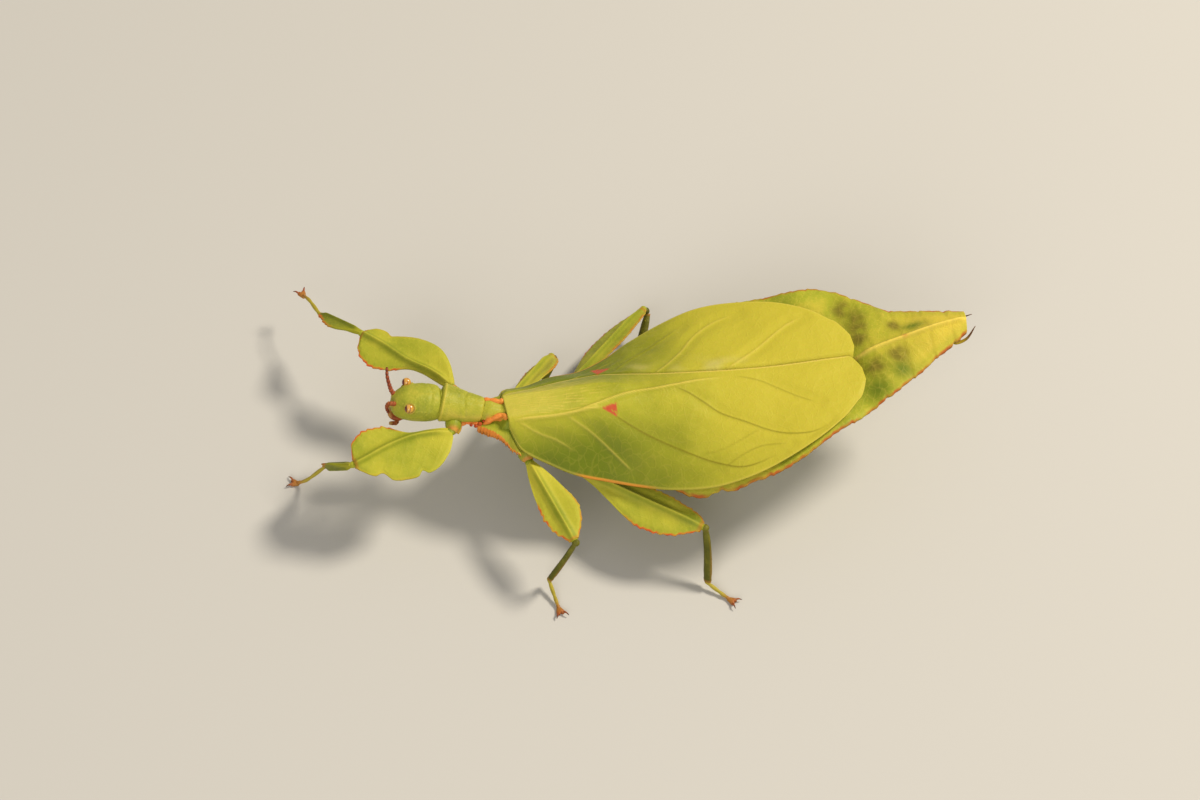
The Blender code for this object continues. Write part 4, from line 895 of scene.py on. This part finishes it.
# Each leg: root, hip, knee, ankle, foot, and which way the flat of the thigh and shin faces
LEGS = {
    "fore_left": ((-0.9, -7.5, -1.9), (1.4, -8.1, -1.7), (4.5, -22.5, -2.0),
                  (-1.0, -25.1, -8.7), (-2.9, -29.9), (0.25, 0.0, 1.0), (0.9, -0.2, -0.4)),
    "fore_right": ((-3.8, -6.7, -1.9), (-5.9, -6.6, -1.7), (-17.9, -17.4, -1.8),
                   (-24.9, -22.0, -5.0), (-30.6, -23.9, -6.2), (0.25, 0.0, 1.0),
                   (0.2, 0.5, 1.0)),
    "mid_left": ((3.6, 1.5, -5.15), (5.4, 1.6, -5.3), (18.3, 5.5, -7.7),
                 (18.4, 2.2, -15.4), (23.3, 3.0), (0.25, -0.2, 1.0), (0.3, -1.0, 0.0)),
    "mid_right": ((-3.6, 1.5, -5.15), (-5.4, 1.6, -5.5), (-15.8, 9.7, -9.9),
                  (-10.2, 5.7, -13.9), (-10.6, 1.4), (-0.54, -0.37, 0.76), (0.5, 0.6, 0.6)),
    "hind_left": ((4.4, 7.4, -6.3), (5.8, 8.2, -8.0), (17.6, 23.8, -9.8),
                  (21.5, 23.8, -17.2), (24.8, 27.2), (0.3, -0.15, 1.0), (0.6, -1.0, 0.0)),
    "hind_right": ((-4.4, 7.4, -6.3), (-6.2, 8.3, -8.3), (-21.9, 24.6, -9.6),
                   (-14.1, 21.3, -14.1), (-11.8, 26.9), (-0.56, -0.39, 0.78),
                   (0.5, -0.6, 0.6)),
}
KNEE_DROP = 1.0
FOOT_RADIUS = 0.36
KEEL = 0.18
BULB_ROWS = ((0.0, 0.85, 0.85, 0.0), (0.25, 1.12, 1.12, 0.0), (0.6, 1.08, 1.08, 0.0),
             (0.85, 0.85, 0.85, 0.0), (1.0, 0.6, 0.6, 0.0), (1.12, 0.45, 0.45, 0.0))
PAD_ROWS = ((0.0, 0.28, 0.24, 0), (0.3, 0.42, 0.3, 0), (0.75, 0.6, 0.32, 0), (1.0, 0.34, 0.22, 0))
UP = Vector((0, 0, 1))
thigh_skin = leafy_material(
    "thigh_skin", (0.34, 0.345, 0.027, 1), (0.50, 0.45, 0.04, 1), (0.19, 0.235, 0.014, 1),
    (0.52, 0.45, 0.06, 1), (0.55, 0.10, 0.02, 1), (0.13, 0.18, 0.01, 1), 0.08, 260.0)
shin_skin = skin_material(
    "shin_skin", (0.10, 0.10, 0.008, 1), (0.22, 0.20, 0.02, 1), (0.05, 0.055, 0.005, 1),
    (0.38, 0.18, 0.04, 1), 0.5)
foot_skin = skin_material(
    "foot_skin", (0.38, 0.31, 0.03, 1), (0.52, 0.42, 0.08, 1), (0.26, 0.20, 0.02, 1),
    (0.34, 0.09, 0.025, 1), 0.45)
claw_horn = skin_material(
    "claw_horn", (0.26, 0.06, 0.018, 1), (0.42, 0.16, 0.05, 1), (0.13, 0.03, 0.01, 1),
    (0.05, 0.012, 0.006, 1), 0.32)
fore_shin_skin = leafy_material(
    "fore_shin_skin", (0.19, 0.21, 0.015, 1), (0.34, 0.32, 0.02, 1), (0.09, 0.11, 0.01, 1),
    (0.36, 0.32, 0.04, 1), (0.50, 0.13, 0.02, 1), (0.08, 0.10, 0.01, 1), 0.08, 300.0)


def line_distance(x, y, line):
    """(distance to the line, share of the way along it)"""
    best = (1e9, 0.0)
    for k in range(len(line) - 1):
        (ax, ay), (bx, by) = line[k], line[k + 1]
        dx, dy = bx - ax, by - ay
        t = clamp(((x - ax) * dx + (y - ay) * dy) / (dx * dx + dy * dy))
        away = math.hypot(ax + dx * t - x, ay + dy * t - y)
        best = min(best, (away, (k + t) / (len(line) - 1)))
    return best


def leg_frame(start, end, facing):
    """A frame at start, with X toward end and Z as near to facing as it can be."""
    along = (end - start).normalized()
    normal = (facing - along * facing.dot(along)).normalized()
    across = normal.cross(along)
    return Matrix.Translation(start) @ Matrix((along, across, normal)).transposed().to_4x4()


def shape_lines(shape, mirrored, length):
    """The three lines of a leafy part, stretched to the length of the leg's part."""
    left, right, shaft = LEG_SHAPES[shape]
    scale = (length - 0.45) / left[-1][0]
    lines = [[(x * scale, y) for x, y in line] for line in (left, right, shaft)]
    if mirrored:
        lines = [[(x, -y) for x, y in line] for line in (lines[1], lines[0], lines[2])]
    return lines


def leg_sheet(lines, thickness, red_sides, turn, rows, rib_pitch, painted_light=0.0):
    """A leafy leg piece, thick along its shaft, with ribs that run out to both edges."""
    left, right, shaft = lines
    shaft_line = [(x, y) for x, y, *_ in smooth_line([(*p, 0) for p in shaft], 4)]
    start, end = left[0][0], left[-1][0]

    def spot(u, v):
        x = start + (end - start) * v
        teeth = [0.28 * share * step((v - 0.45) / 0.1) for share in red_sides]
        high = profile(left, x) + tooth(x, 0.95, teeth[0])
        low = profile(right, x) - tooth(x + 0.4, 0.95, teeth[1])
        return x, low + (high - low) * u, high - low

    def from_rib(x, away):
        return (x - 0.75 * away) % rib_pitch - rib_pitch / 2

    def crest(away, along):
        return KEEL * hill(away, 0.2) * step(6 * min(along, 1 - along))

    def half(u, v):
        """(half the thickness, waves, distance from the shaft, share of the way along it)"""
        x, y, width = spot(u, v)
        away, along = line_distance(x, y, shaft_line)
        end_share = 0.5 + 0.5 * step(8 * min(along, 1 - along))
        shaft_swell = 0.5 * (thickness - 0.5) * end_share * hill(away, 0.62)
        rib = 0.02 * hill(from_rib(x, away), 0.16)
        rib *= step((away - 0.4) / 0.6)
        rim = step(min(u, 1 - u) * width / 0.8)
        waves = 0.07 * noise.noise(Vector((x / 2.2, y / 1.7, thickness))) * step((away - 0.5) / 1)
        return 0.1 + 0.14 * rim + shaft_swell + rib * rim, waves * rim, away, along

    def place(u, v):
        x, y, _ = spot(u, v)
        thick, waves, away, along = half(u, v)
        return Vector((x, y, thick + waves + crest(away, along)))

    def depth(u, v):
        thick, _, away, along = half(u, v)
        return 2 * thick + 0.8 * crest(away, along)

    def marks(u, v):
        x, y, width = spot(u, v)
        away = line_distance(x, y, shaft_line)[0]
        rib = hill(from_rib(x, away), 0.13)
        vein = 0.08 * rib * step((away - 0.4) / 0.6) + 0.3 * hill(away, 0.1)
        share = red_sides[0] if u > 0.5 else red_sides[1]
        margin = min(u, 1 - u) * width
        worn = clamp(0.75 + 0.9 * noise.noise(Vector((x / 0.8, y / 0.8, 6.0))))
        edge = share * step((v - 0.42) / 0.12) * step((0.32 - margin) / 0.16) * worn
        flank = hill(away - 0.34, 0.2) * step((v - 0.05) / 0.2)
        knee = 0.35 * step((v - 0.965) / 0.02)
        # Painted light: a paler, yellower colour over the whole piece, with a weaker dark flank.
        patch = (0.42 - 0.3 * painted_light) * flank
        ripe = 0.7 * step((0.5 - v) / 0.5) + 0.25 * step((0.5 - margin) / 0.3) + painted_light
        return vein, max(edge, knee), patch, 0.0, 0.0, clamp(ripe - flank), 0.0

    return leaf_sheet(rows, 64, place, depth, marks, turn)


def floor_height(x, y):
    """Height of the floor under a point of the insect's own frame."""
    world_up = STANCE.to_3x3().inverted() @ Vector((0, 0, 1))
    base = STANCE.translation.z / MM
    return (-base - world_up.x * x - world_up.y * y) / world_up.z


def foot_route(ankle, foot):
    """Where the foot bends and where its pad is, on the floor or at the height that foot gives."""
    reach = (Vector(foot[:2]) - ankle.xy).normalized() * 0.9
    x, y = Vector(foot[:2]) - reach
    if len(foot) == 3:
        tip = Vector((x, y, foot[2]))
        return ankle.lerp(tip, 0.6) + Vector((0, 0, 0.5)), tip
    ground = Vector((x, y, floor_height(x, y) + FOOT_RADIUS - 0.12))
    heel = ankle.lerp(ground, 0.62)
    level = floor_height(heel.x, heel.y) + FOOT_RADIUS
    heel.z = max(level, heel.z - 0.35 * (heel.z - level))
    return heel, ground


def keep_above_floor(bm):
    """Presses the sole flat where it would go through the floor."""
    for vert in bm.verts:
        vert.co.z = max(vert.co.z, floor_height(vert.co.x, vert.co.y) + 0.004)


def hip_bulb(root, hip, knee):
    bulb = rod(spine(BULB_ROWS, root, hip, 30), 32, lambda s, angle: 0.85 * hill(s - 0.9, 0.12))
    add_mesh(bulb, ball(hip + (knee - hip).normalized() * 0.35, (0.62, 0.62, 0.5)))
    return bulb


def rod_shin(pair, length):
    """A plain shin along X, flattened and bowed, with small spines along both edges."""
    wide, bow = (0.44, -0.2) if pair == "mid" else (0.7, -0.3)
    stations = []
    for k in range(41):
        share = k / 40
        centre = Vector((share * (length - 0.2), 0, bow * math.sin(math.pi * share)))
        end = 0.8 + 0.2 * step(5 * min(share, 1 - share))
        knob = 1 + 0.12 * hill(share - 0.96, 0.03)
        half_width = wide * (0.8 + 0.35 * share) * end * knob
        stations.append((centre, half_width, 0.45 * end, Vector((1, 0, 0))))
    shin = rod(stations, 24,
               lambda s, angle: 0.8 * (step((0.06 - s) / 0.05) + step((s - 0.95) / 0.04)))
    mark = shin.verts.layers.float["mark"]
    for vert in shin.verts:
        edge = abs(vert.co.y) / wide
        vert.co.z *= 1 - 0.25 * edge**2
        vert.co.y *= 1 + 0.05 * (tooth(vert.co.x, 0.8, 1.0) * step((edge - 0.75) / 0.2))
        vert[mark] = clamp(vert[mark] + 0.35 * step((edge - 0.8) / 0.2))
    return shin


def foot_joints(back, ankle, heel, ground, ahead):
    """Five joints from the shin to the ground, and the pad in front, which has a notch."""
    joints = rod(bead_line(smooth_line((ankle - back, ankle, heel, ground), 16),
                           lambda s: 0.31 - 0.07 * s, 5.0), 20,
                 lambda s, angle: step((s - 0.6) / 0.35) * 0.8)
    across = UP.cross(ahead)
    pad = rod(spine(PAD_ROWS, ground - ahead * 0.5, ground + ahead * 0.75, 16), 28,
              lambda s, angle: 0.65 + 0.3 * s)
    for vert in pad.verts:
        reach = vert.co - ground
        notch = 0.3 * hill(reach.dot(across), 0.18) * step((reach.dot(ahead) - 0.2) / 0.5)
        vert.co -= ahead * notch
    add_mesh(joints, pad)
    return joints


def claw_pair(ground, ahead):
    claws = bmesh.new()
    claws.verts.layers.float.new("mark")
    for side in (1, -1):
        out = UP.cross(ahead) * side
        root = ground + ahead * 0.3 + out * 0.26
        claw = (root, root + ahead * 0.5 + out * 0.36 + UP * 0.26,
                root + ahead * 0.9 + out * 0.62 + UP * 0.05)
        add_mesh(claws, rod(bead_line(smooth_line(claw, 8), lambda s: 0.18 * (1 - s) + 0.05, 0.0),
                            14, lambda s, angle: step((s - 0.4) / 0.5)))
    return claws


for name, (root, hip, knee, ankle, foot, thigh_face, shin_face) in LEGS.items():
    root, hip, knee, ankle = (Vector(p) for p in (root, hip, knee, ankle))
    side = 1 if name.endswith("left") else -1
    pair = name.split("_")[0]
    finish_piece(hip_bulb(root, hip, knee), f"hip_{name}", [f"coxa_{name}"], body_skin)

    turn = leg_frame(hip, knee, Vector(thigh_face))
    shape = name if name in LEG_SHAPES else pair
    lines = shape_lines(shape, side < 0 and shape == pair, (knee - hip).length)
    red = (0.15, 1.0) if pair == "fore" else (0.6, 1.0)
    # The middle thighs face away from the key lamp, so they get painted light.
    thigh = leg_sheet(lines, 1.5, red[::side], turn, 150, 1.7, 0.45 if pair == "mid" else 0.0)
    add_mesh(thigh, ball(knee - (knee - hip).normalized() * 0.25, (0.5, 0.5, 0.42)))
    finish_piece(thigh, f"thigh_{name}", [f"femur_{name}"], thigh_skin)

    shin_top = knee
    if (knee - hip).dot(ankle - knee) < 0 and pair != "fore":
        shin_top = knee - turn.to_3x3().col[2] * KNEE_DROP
    turn = leg_frame(shin_top, ankle, Vector(shin_face))
    length = (ankle - shin_top).length
    if pair == "fore":
        lines = shape_lines("fore_shin", side < 0, length)
        shin = leg_sheet(lines, 1.1, (0.0, 1.0)[::side], turn, 110, 1.2)
    else:
        shin = rod_shin(pair, length)
        shin.transform(turn)
        add_mesh(shin, ball(knee.lerp(shin_top, 0.5), (0.55, 0.55, 0.5)))
    finish_piece(shin, f"shin_{name}", [f"tibia_{name}"],
                 fore_shin_skin if pair == "fore" else shin_skin)

    heel, ground = foot_route(ankle, foot)
    ahead = ground - heel
    ahead.z = 0
    ahead.normalize()
    joints = foot_joints((ankle - knee).normalized() * 0.35, ankle, heel, ground, ahead)
    claws = claw_pair(ground, ahead)
    if len(foot) == 2:
        keep_above_floor(joints)
        keep_above_floor(claws)
    finish_piece(joints, f"foot_{name}", [f"tarsus_{name}"], foot_skin)
    finish_piece(claws, f"claws_{name}", [], claw_horn)

# Fore wings. Stiff leaf-like sheets with raised yellow veins, closed flat over the back. Each has
# a rust-red mark and a thin orange stretch of its outer edge, and hinges on the thorax in front.
# The wings' patch colour is the pale of their painted light and painted sheen, and their dark colour
# also paints shade.
wing_skin = leafy_material(
    "wing_skin", (0.40, 0.385, 0.03, 1), (0.50, 0.43, 0.038, 1), (0.13, 0.165, 0.008, 1),
    (0.64, 0.50, 0.09, 1), (0.62, 0.24, 0.03, 1), (0.52, 0.46, 0.12, 1), 0.08, 95.0)
# Each vein: its route on the back, half-width, height and strength, which is below 0 where dark
MAIN_VEINS = (
    (((2.2, 0.3), (2.3, 4.0), (2.3, 7.2), (2.1, 10.2), (2.1, 12.8)), 0.24, 0.24, 0.9),
    (((2.2, 8.6), (1.5, 11.6), (0.8, 14.0), (0.2, 17.0), (0.2, 20.6), (-0.1, 25.8), (-0.1, 31.3)),
     0.22, 0.26, 0.95),
    (((2.5, 0.8), (3.7, 3.0), (4.7, 5.3), (6.2, 7.8)), 0.18, 0.09, 0.35),
    (((2.4, 7.2), (4.2, 9.9), (6.0, 12.0), (8.2, 14.1), (9.6, 15.4)), 0.17, 0.1, 0.42),
    (((2.8, 13.4), (4.0, 15.2), (5.5, 17.4), (7.6, 20.4), (10.0, 23.7), (12.2, 27.0),
      (13.4, 29.4), (13.5, 31.8), (12.9, 35.0)), 0.16, 0.06, -0.75),
    (((0.3, 22.8), (1.3, 24.4), (3.0, 26.2), (5.2, 28.4), (7.2, 31.3), (9.3, 34.4), (10.5, 37.0),
      (10.9, 39.9), (10.2, 42.6)), 0.15, 0.06, -0.7),
    (((0.1, 31.8), (1.3, 34.6), (3.3, 37.2), (5.2, 39.6), (6.6, 41.6)), 0.13, 0.05, -0.4),
    (((12.9, 26.9), (11.8, 29.6), (11.2, 32.6), (11.9, 36.4)), 0.12, 0.05, -0.4),
    (((8.6, 33.2), (9.4, 30.6), (10.2, 27.4), (10.0, 24.4)), 0.12, 0.04, -0.25),
    (((-3.0, 20.6), (-4.3, 22.6), (-6.8, 25.6), (-9.5, 28.2), (-11.2, 31.4), (-11.9, 35.0)),
     0.16, 0.12, 0.5),
    (((-1.6, 31.0), (-2.6, 32.7), (-4.7, 36.3), (-7.4, 40.5), (-8.6, 43.6)), 0.16, 0.12, 0.6),
)
# The red mark on each side's wing: its point, the middle of its base and half the base's width
RED_MARKS = {1: ((2.2, 12.4), (2.5, 14.3), 0.75), -1: ((-8.7, 13.5), (-6.7, 14.7), 1.1)}
RIGHT_VEINS = (
    (((-2.2, 1.2), (-3.9, 6.0), (-5.2, 11.0), (-5.6, 15.0)), 0.2, 0.14, 0.5),
    (((-4.0, 6.2), (-6.0, 10.2), (-8.2, 14.0), (-9.8, 17.4)), 0.15, 0.1, 0.25),
    (((-5.6, 15.5), (-7.8, 18.0), (-10.2, 22.6), (-12.4, 27.0)), 0.15, 0.1, -0.3),
)
# Where the wing of each side starts, and its length
WING_SPANS = {1: (-0.62, 49.72), -1: (-0.68, 49.78)}


def rounded_tip(rows, y, turn, length, power):
    """A margin that follows its rows, and then turns inward over the length of the tip."""
    end, width = rows[-1][:2]
    return profile(rows, y) if y < end else width + turn * ((y - end) / length) ** power


def wing_spot(side, u, v):
    """Where share u from the inner margin and v from the root lies, and the width there."""
    start, length = WING_SPANS[side]
    y = start + length * v
    outer = side * rounded_tip(WING_MARGIN, y, -3.2, 1.9, 1.5)
    if side > 0:
        inner = rounded_tip(LEFT_INNER, y, 2.3, 1.3, 1.6)
    elif y < 1.1:
        inner = -2.45 + 4.25 * (y + 0.68) / 1.78
    else:
        inner = rounded_tip(RIGHT_INNER, y, -3.2, 1.5, 1.5)
    return inner + (outer - inner) * u, y, abs(outer - inner)


def wing_veins(side):
    """The veins on one wing, each as (smooth line, box, half-width, height, strength)."""
    found = []
    for controls, half_width, height, strength in MAIN_VEINS + (RIGHT_VEINS if side < 0 else ()):
        if (side > 0) == (controls[-1][0] > -0.5):
            line = [(x, y) for x, y, _ in smooth_line([(*p, 0) for p in controls], 5)]
            reach = [f(p[k] for p in line) + d for k in (0, 1) for f, d in ((min, -4), (max, 4))]
            found.append((line, reach, half_width, height, strength))
    return found


def wing_piece(side):
    veins = wing_veins(side)
    mark_point, mark_base = (Vector(p) for p in RED_MARKS[side][:2])
    mark_aim = (mark_base - mark_point).normalized()
    mark_length = (mark_base - mark_point).length
    known = {}

    def relief(x, y):
        """(raised height, tint, dark tint, distance to the nearest vein), kept once worked out"""
        if (x, y) in known:
            return known[x, y]
        raised, tint, line_tint = 0.0, 0.0, 0.0
        nearest = 4.0
        for line, (left, right, front, rear), half_width, height, strength in veins:
            if not (left < x < right and front < y < rear):
                continue
            away, place = line_distance(x, y, line)
            fade = step(6 * place + 0.25) * step(5 * (1 - place))
            raised = max(raised, height * fade * hill(away, half_width))
            shown = strength * fade * hill(away, max(0.55 * half_width, 0.11))
            tint, line_tint = max(tint, shown), max(line_tint, -shown)
            nearest = min(nearest, away)
        known[x, y] = (raised, tint, line_tint, nearest)
        return known[x, y]

    def place(u, v):
        x, y, width = wing_spot(side, u, v)
        raised, _, _, nearest = relief(x, y)
        quilt = 0.16 * step((nearest - 0.2) / 1.6)
        waves = 0.2 * noise.noise(Vector((x / 4.3, y / 5.2, 3.0 * side)))
        fine = 0.035 * noise.noise(Vector((x / 0.9, y / 1.2, 5.0)))
        margin = min(u, 1 - u) * width
        inward = step(min(margin / 1.2, (y + 0.7) / 1.0, (49.1 - y) / 0.8))
        lap = lap_step(min(x, 0.0), y) if side < 0 else 0.0
        z = roof(x, y) - lap + raised + (quilt + waves + fine - 0.1) * inward
        return Vector((x, y, z))

    def depth(u, v):
        x, y, width = wing_spot(side, u, v)
        raised = relief(x, y)[0]
        margin = min(u, 1 - u) * width
        return 0.14 + 0.26 * step(margin / 0.9) + 0.4 * raised

    def marks(u, v):
        x, y, width = wing_spot(side, u, v)
        _, tint, line_tint, _ = relief(x, y)
        inner_line = 0.9 * step((0.3 - u * width) / 0.18) * step((48.6 - y) / 2)
        outer_margin = (1 - u) * width
        orange = step((y - 7.0) / 2) * step((19.0 - y) / 3)
        rim = step((0.3 - outer_margin) / 0.15)
        fan = 0.0
        if side > 0 and -5.4 < x < 2.0 and y < 17:
            turn = math.atan2(x + 0.6, y + 9.0) * 36 + 0.7 * noise.noise(Vector((x, y / 3, 1.0)))
            fan = 0.55 * hill(turn % 1.0 - 0.5, 0.16) * step((16 - y) / 6)
            fan *= clamp(0.75 + 1.6 * noise.noise(Vector((x / 0.8, y / 1.3, 2.0))))
        on_mark = Vector((x, y)) - mark_point
        along = on_mark.dot(mark_aim)
        spread = abs(on_mark.cross(mark_aim))
        speck = noise.noise(Vector((x * 3.1, y * 3.1, 7.0)))
        triangle = step((mark_length - along + 0.1) / 0.2) * step((along + 0.15) / 0.2)
        triangle *= step((RED_MARKS[side][2] * along / mark_length - spread + 0.2) / 0.2)
        triangle *= step((speck + 0.5) / 0.25)
        # Painted light: the flat clavus of the left wing, which takes more light, is made paler.
        clavus = 0.22 * step((2.0 - x) / 0.6) * step((13 - y) / 9)
        # Painted sheen: a pale cloudy band on the right wing just beside the seam.
        painted_sheen = clamp(0.2 + 1.5 * noise.noise(Vector((x / 2.2, y / 3.4, 8.0))))
        seam_away = profile(LEFT_INNER, y) - x
        pale = clavus if side > 0 else 0.8 * painted_sheen * hill(seam_away - 1.3, 1.3)
        pale *= 1 if side > 0 else step((y - 16) / 3) * step((36 - y) / 4)
        vein = max(tint, inner_line, fan, 0.3 * rim)
        ripe = step((y - 12 - 0.25 * abs(x)) / 26)
        # Painted shade: the steep outer front of each wing, which takes less light, is made darker.
        shade = step((abs(x) - 1.0) / 6) * step((30 - y) / 20)
        return vein, 0.9 * rim * orange, pale, triangle, line_tint, ripe, shade

    return leaf_sheet(270, 100, place, depth, marks)


for word, side in SIDES:
    finish_piece(wing_piece(side), f"wing_{word}", [f"tegmen_{word}"], wing_skin)

# Floor and light. A plain pale floor under plain soft studio light. The warm key light is high
# behind the insect and a little to its right, as in the photo, and the weak fill is in front on
# its left.
floor_mesh = bmesh.new()
bmesh.ops.create_grid(floor_mesh, x_segments=1, y_segments=1, size=1.5)
mesh = bpy.data.meshes.new("floor")
floor_mesh.to_mesh(mesh)
floor_mesh.free()
floor = bpy.data.objects.new("floor", mesh)
bpy.context.scene.collection.objects.link(floor)
floor_paint, _, shader = new_surface("floor_paint")
set_inputs(shader, {"Base Color": (0.50, 0.485, 0.455, 1), "Roughness": 0.7})
mesh.materials.append(floor_paint)

world = bpy.data.worlds.new("studio")
world.use_nodes = True
set_inputs(world.node_tree.nodes["Background"], {
    "Color": (1.0, 0.96, 0.90, 1), "Strength": 0.34})
bpy.context.scene.world = world
LIT_SPOT = Vector((0, 0, 0.01))


def soft_light(name, place, size, power, colour):
    """A round lamp that points at the insect's middle."""
    light = bpy.data.lights.new(name, "AREA")
    light.shape = "DISK"
    light.size = size
    light.energy = power
    light.color = colour
    lamp = bpy.data.objects.new(name, light)
    bpy.context.scene.collection.objects.link(lamp)
    lamp.location = place
    lamp.rotation_euler = (LIT_SPOT - Vector(place)).to_track_quat("-Z", "Y").to_euler()


soft_light("key", (-0.24, 0.66, 0.82), 0.26, 12.3, (1.0, 0.92, 0.78))
soft_light("fill", (0.55, -0.30, 0.42), 0.5, 2.9, (1.0, 0.96, 0.90))

# Camera. A long lens looks down on the insect from its left, as in the photo. Its place and aim
# are set in the insect's own frame. The plain view transform keeps the greens as saturated as
# they are in the photo.
CAMERA_PLACE = Vector((231.72, -58.58, 299.37))
camera = bpy.data.cameras.new("camera")
camera.lens = 85
camera.sensor_width = 36
camera.clip_start = 0.01
camera_stand = bpy.data.objects.new("camera", camera)
bpy.context.scene.collection.objects.link(camera_stand)
aim = (Matrix.Rotation(math.radians(77.2213), 4, "Z")
       @ Matrix.Rotation(math.radians(-3.4521), 4, "Y")
       @ Matrix.Rotation(math.radians(38.7535), 4, "X"))
camera_stand.matrix_world = STANCE @ Matrix.Translation(CAMERA_PLACE * MM) @ aim
bpy.context.scene.camera = camera_stand
bpy.context.scene.view_settings.view_transform = "Standard"
